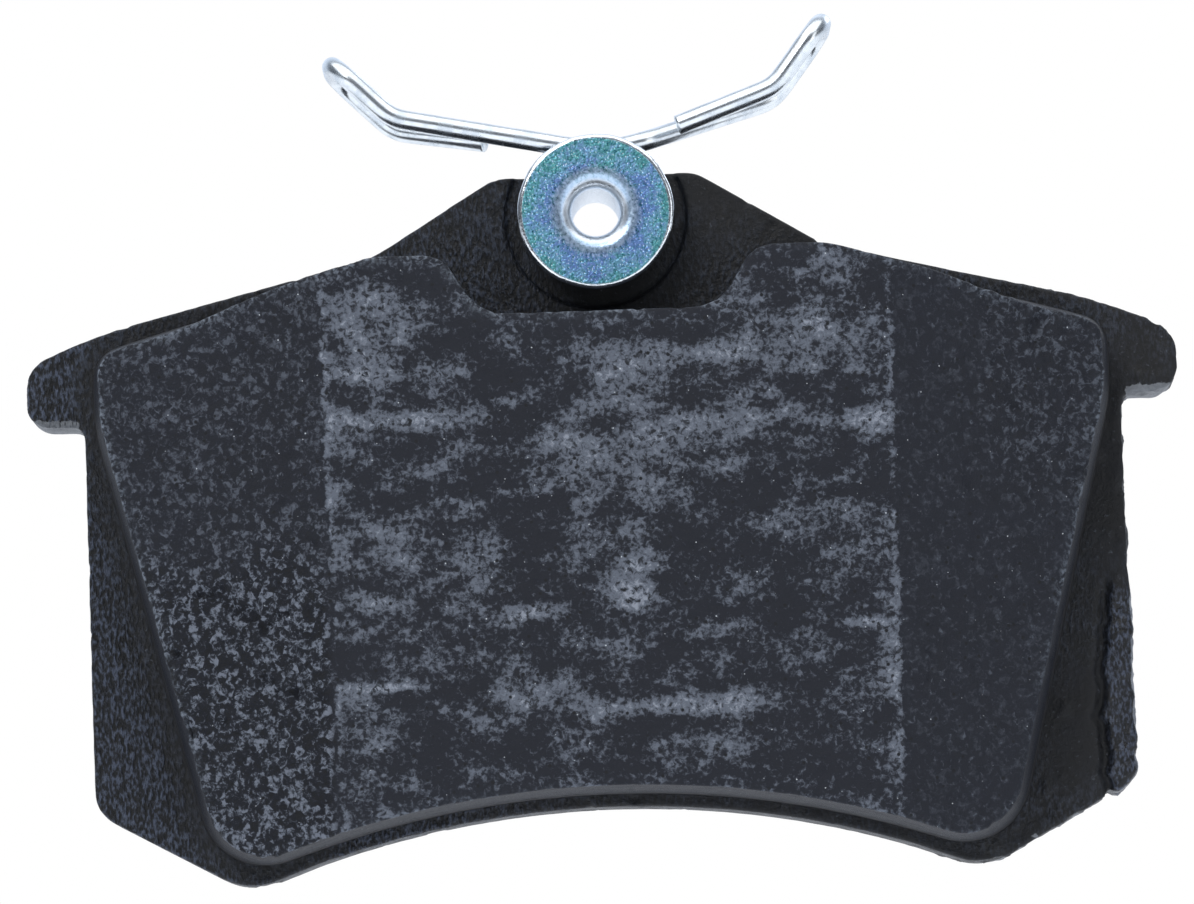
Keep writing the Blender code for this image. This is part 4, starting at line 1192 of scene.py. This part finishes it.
def soft_box(name, place, size, power):
    """An even rectangle of light, turned to face the pad."""
    light = bpy.data.lights.new(name, "AREA")
    light.shape = "RECTANGLE"
    light.size, light.size_y = size
    light.energy = power
    lamp = bpy.data.objects.new(name, light)
    bpy.context.scene.collection.objects.link(lamp)
    lamp.location = place
    lamp.rotation_euler = (Vector(AIM) - Vector(place)).to_track_quat("-Z", "Y").to_euler()


def studio():
    """A white surround to look at, and one to be lit by that is white behind, pale above and dark in front."""
    world = bpy.data.worlds.new("white_cove")
    bpy.context.scene.world = world
    world.use_nodes = True
    tree = world.node_tree
    tree.nodes.clear()
    way = add(tree, "TexCoord", out="Generated")
    height = add(tree, "SeparateXYZ", {0: way}, "Z")
    behind = add(tree, "SeparateXYZ", {0: way}, "Y")
    glow = add(tree, "MapRange", {0: height, 1: -0.1, 2: 0.5, 3: 0.05, 4: 0.26}, **SMOOTH)
    cove = add(tree, "MapRange", {0: behind, 1: 0.1, 2: 0.75, 3: 0.0, 4: 1.0}, **SMOOTH)
    glow = add(tree, "Math", {0: glow, 1: cove}, operation="ADD")
    lit = add(tree, "Background", {"Color": linear("#dde7f6"), "Strength": glow})
    seen = add(tree, "Background", {"Color": (1, 1, 1, 1), "Strength": 1.0})
    camera_ray = add(tree, "LightPath", out="Is Camera Ray")
    add(tree, "OutputWorld", {"Surface": add(tree, "MixShader", {0: camera_ray, 1: lit, 2: seen})})
    for box in SOFT_BOXES:
        soft_box(*box)


FLOOR_SIZE, FLOOR_Z = 4, -0.085  # half its side, and its height, in metres


def floor():
    """A plain pale floor. It glows a little, as a lit sweep does."""
    material, tree, mm = begin("pale_floor")
    shade = add(tree, "TexNoise", {"Vector": mm, "Scale": 0.01, "Detail": 2.0})
    colour = add(tree, "Mix", {0: shade, 6: linear("#eceef1"), 7: linear("#f4f5f7")}, 2, **COLOUR)
    look = {"Base Color": colour, "Roughness": 0.8, "Emission Color": (1, 1, 1, 1), "Emission Strength": 0.22}
    add(tree, "OutputMaterial", {"Surface": add(tree, "BsdfPrincipled", look)})
    mesh = bpy.data.meshes.new("floor")
    corners = [(x * FLOOR_SIZE, y * FLOOR_SIZE, FLOOR_Z) for x, y in ((-1, -1), (1, -1), (1, 1), (-1, 1))]
    mesh.from_pydata(corners, [], [(0, 1, 2, 3)])
    mesh.materials.append(material)
    plane = bpy.data.objects.new("floor", mesh)
    bpy.context.scene.collection.objects.link(plane)
    plane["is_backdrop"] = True


CAMERA_PLACE = (-0.0005, -0.6043, -0.0471)
CAMERA_TIP, CAMERA_ROLL = math.radians(95), math.radians(-1.95)


def camera():
    """A long lens in front and a little below, tipped up by 5 degrees and rolled by 2."""
    data = bpy.data.cameras.new("camera")
    data.sensor_width = 36.0
    data.lens = 239.7
    made = bpy.data.objects.new("camera", data)
    bpy.context.scene.collection.objects.link(made)
    turn = Matrix.Rotation(CAMERA_TIP, 4, "X") @ Matrix.Rotation(CAMERA_ROLL, 4, "Z")
    made.matrix_world = Matrix.Translation(CAMERA_PLACE) @ turn
    bpy.context.scene.camera = made


studio()
floor()
camera()
bpy.context.scene.view_settings.view_transform = "Standard"
print(len(SOFT_BOXES), "soft boxes, camera at", CAMERA_PLACE)

# %% [markdown]
# ## Sizes
# Both boxes, the model's and the finished pad's, are printed in millimetres. The finished pad
# has to stay inside the model's box.

# %% Sizes, then the last line
visual_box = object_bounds()
for name, box in (("CAD", cad_box), ("visual", visual_box)):
    print(name, "box in mm", [round(v / MM, 1) for v in box[1] - box[0]])
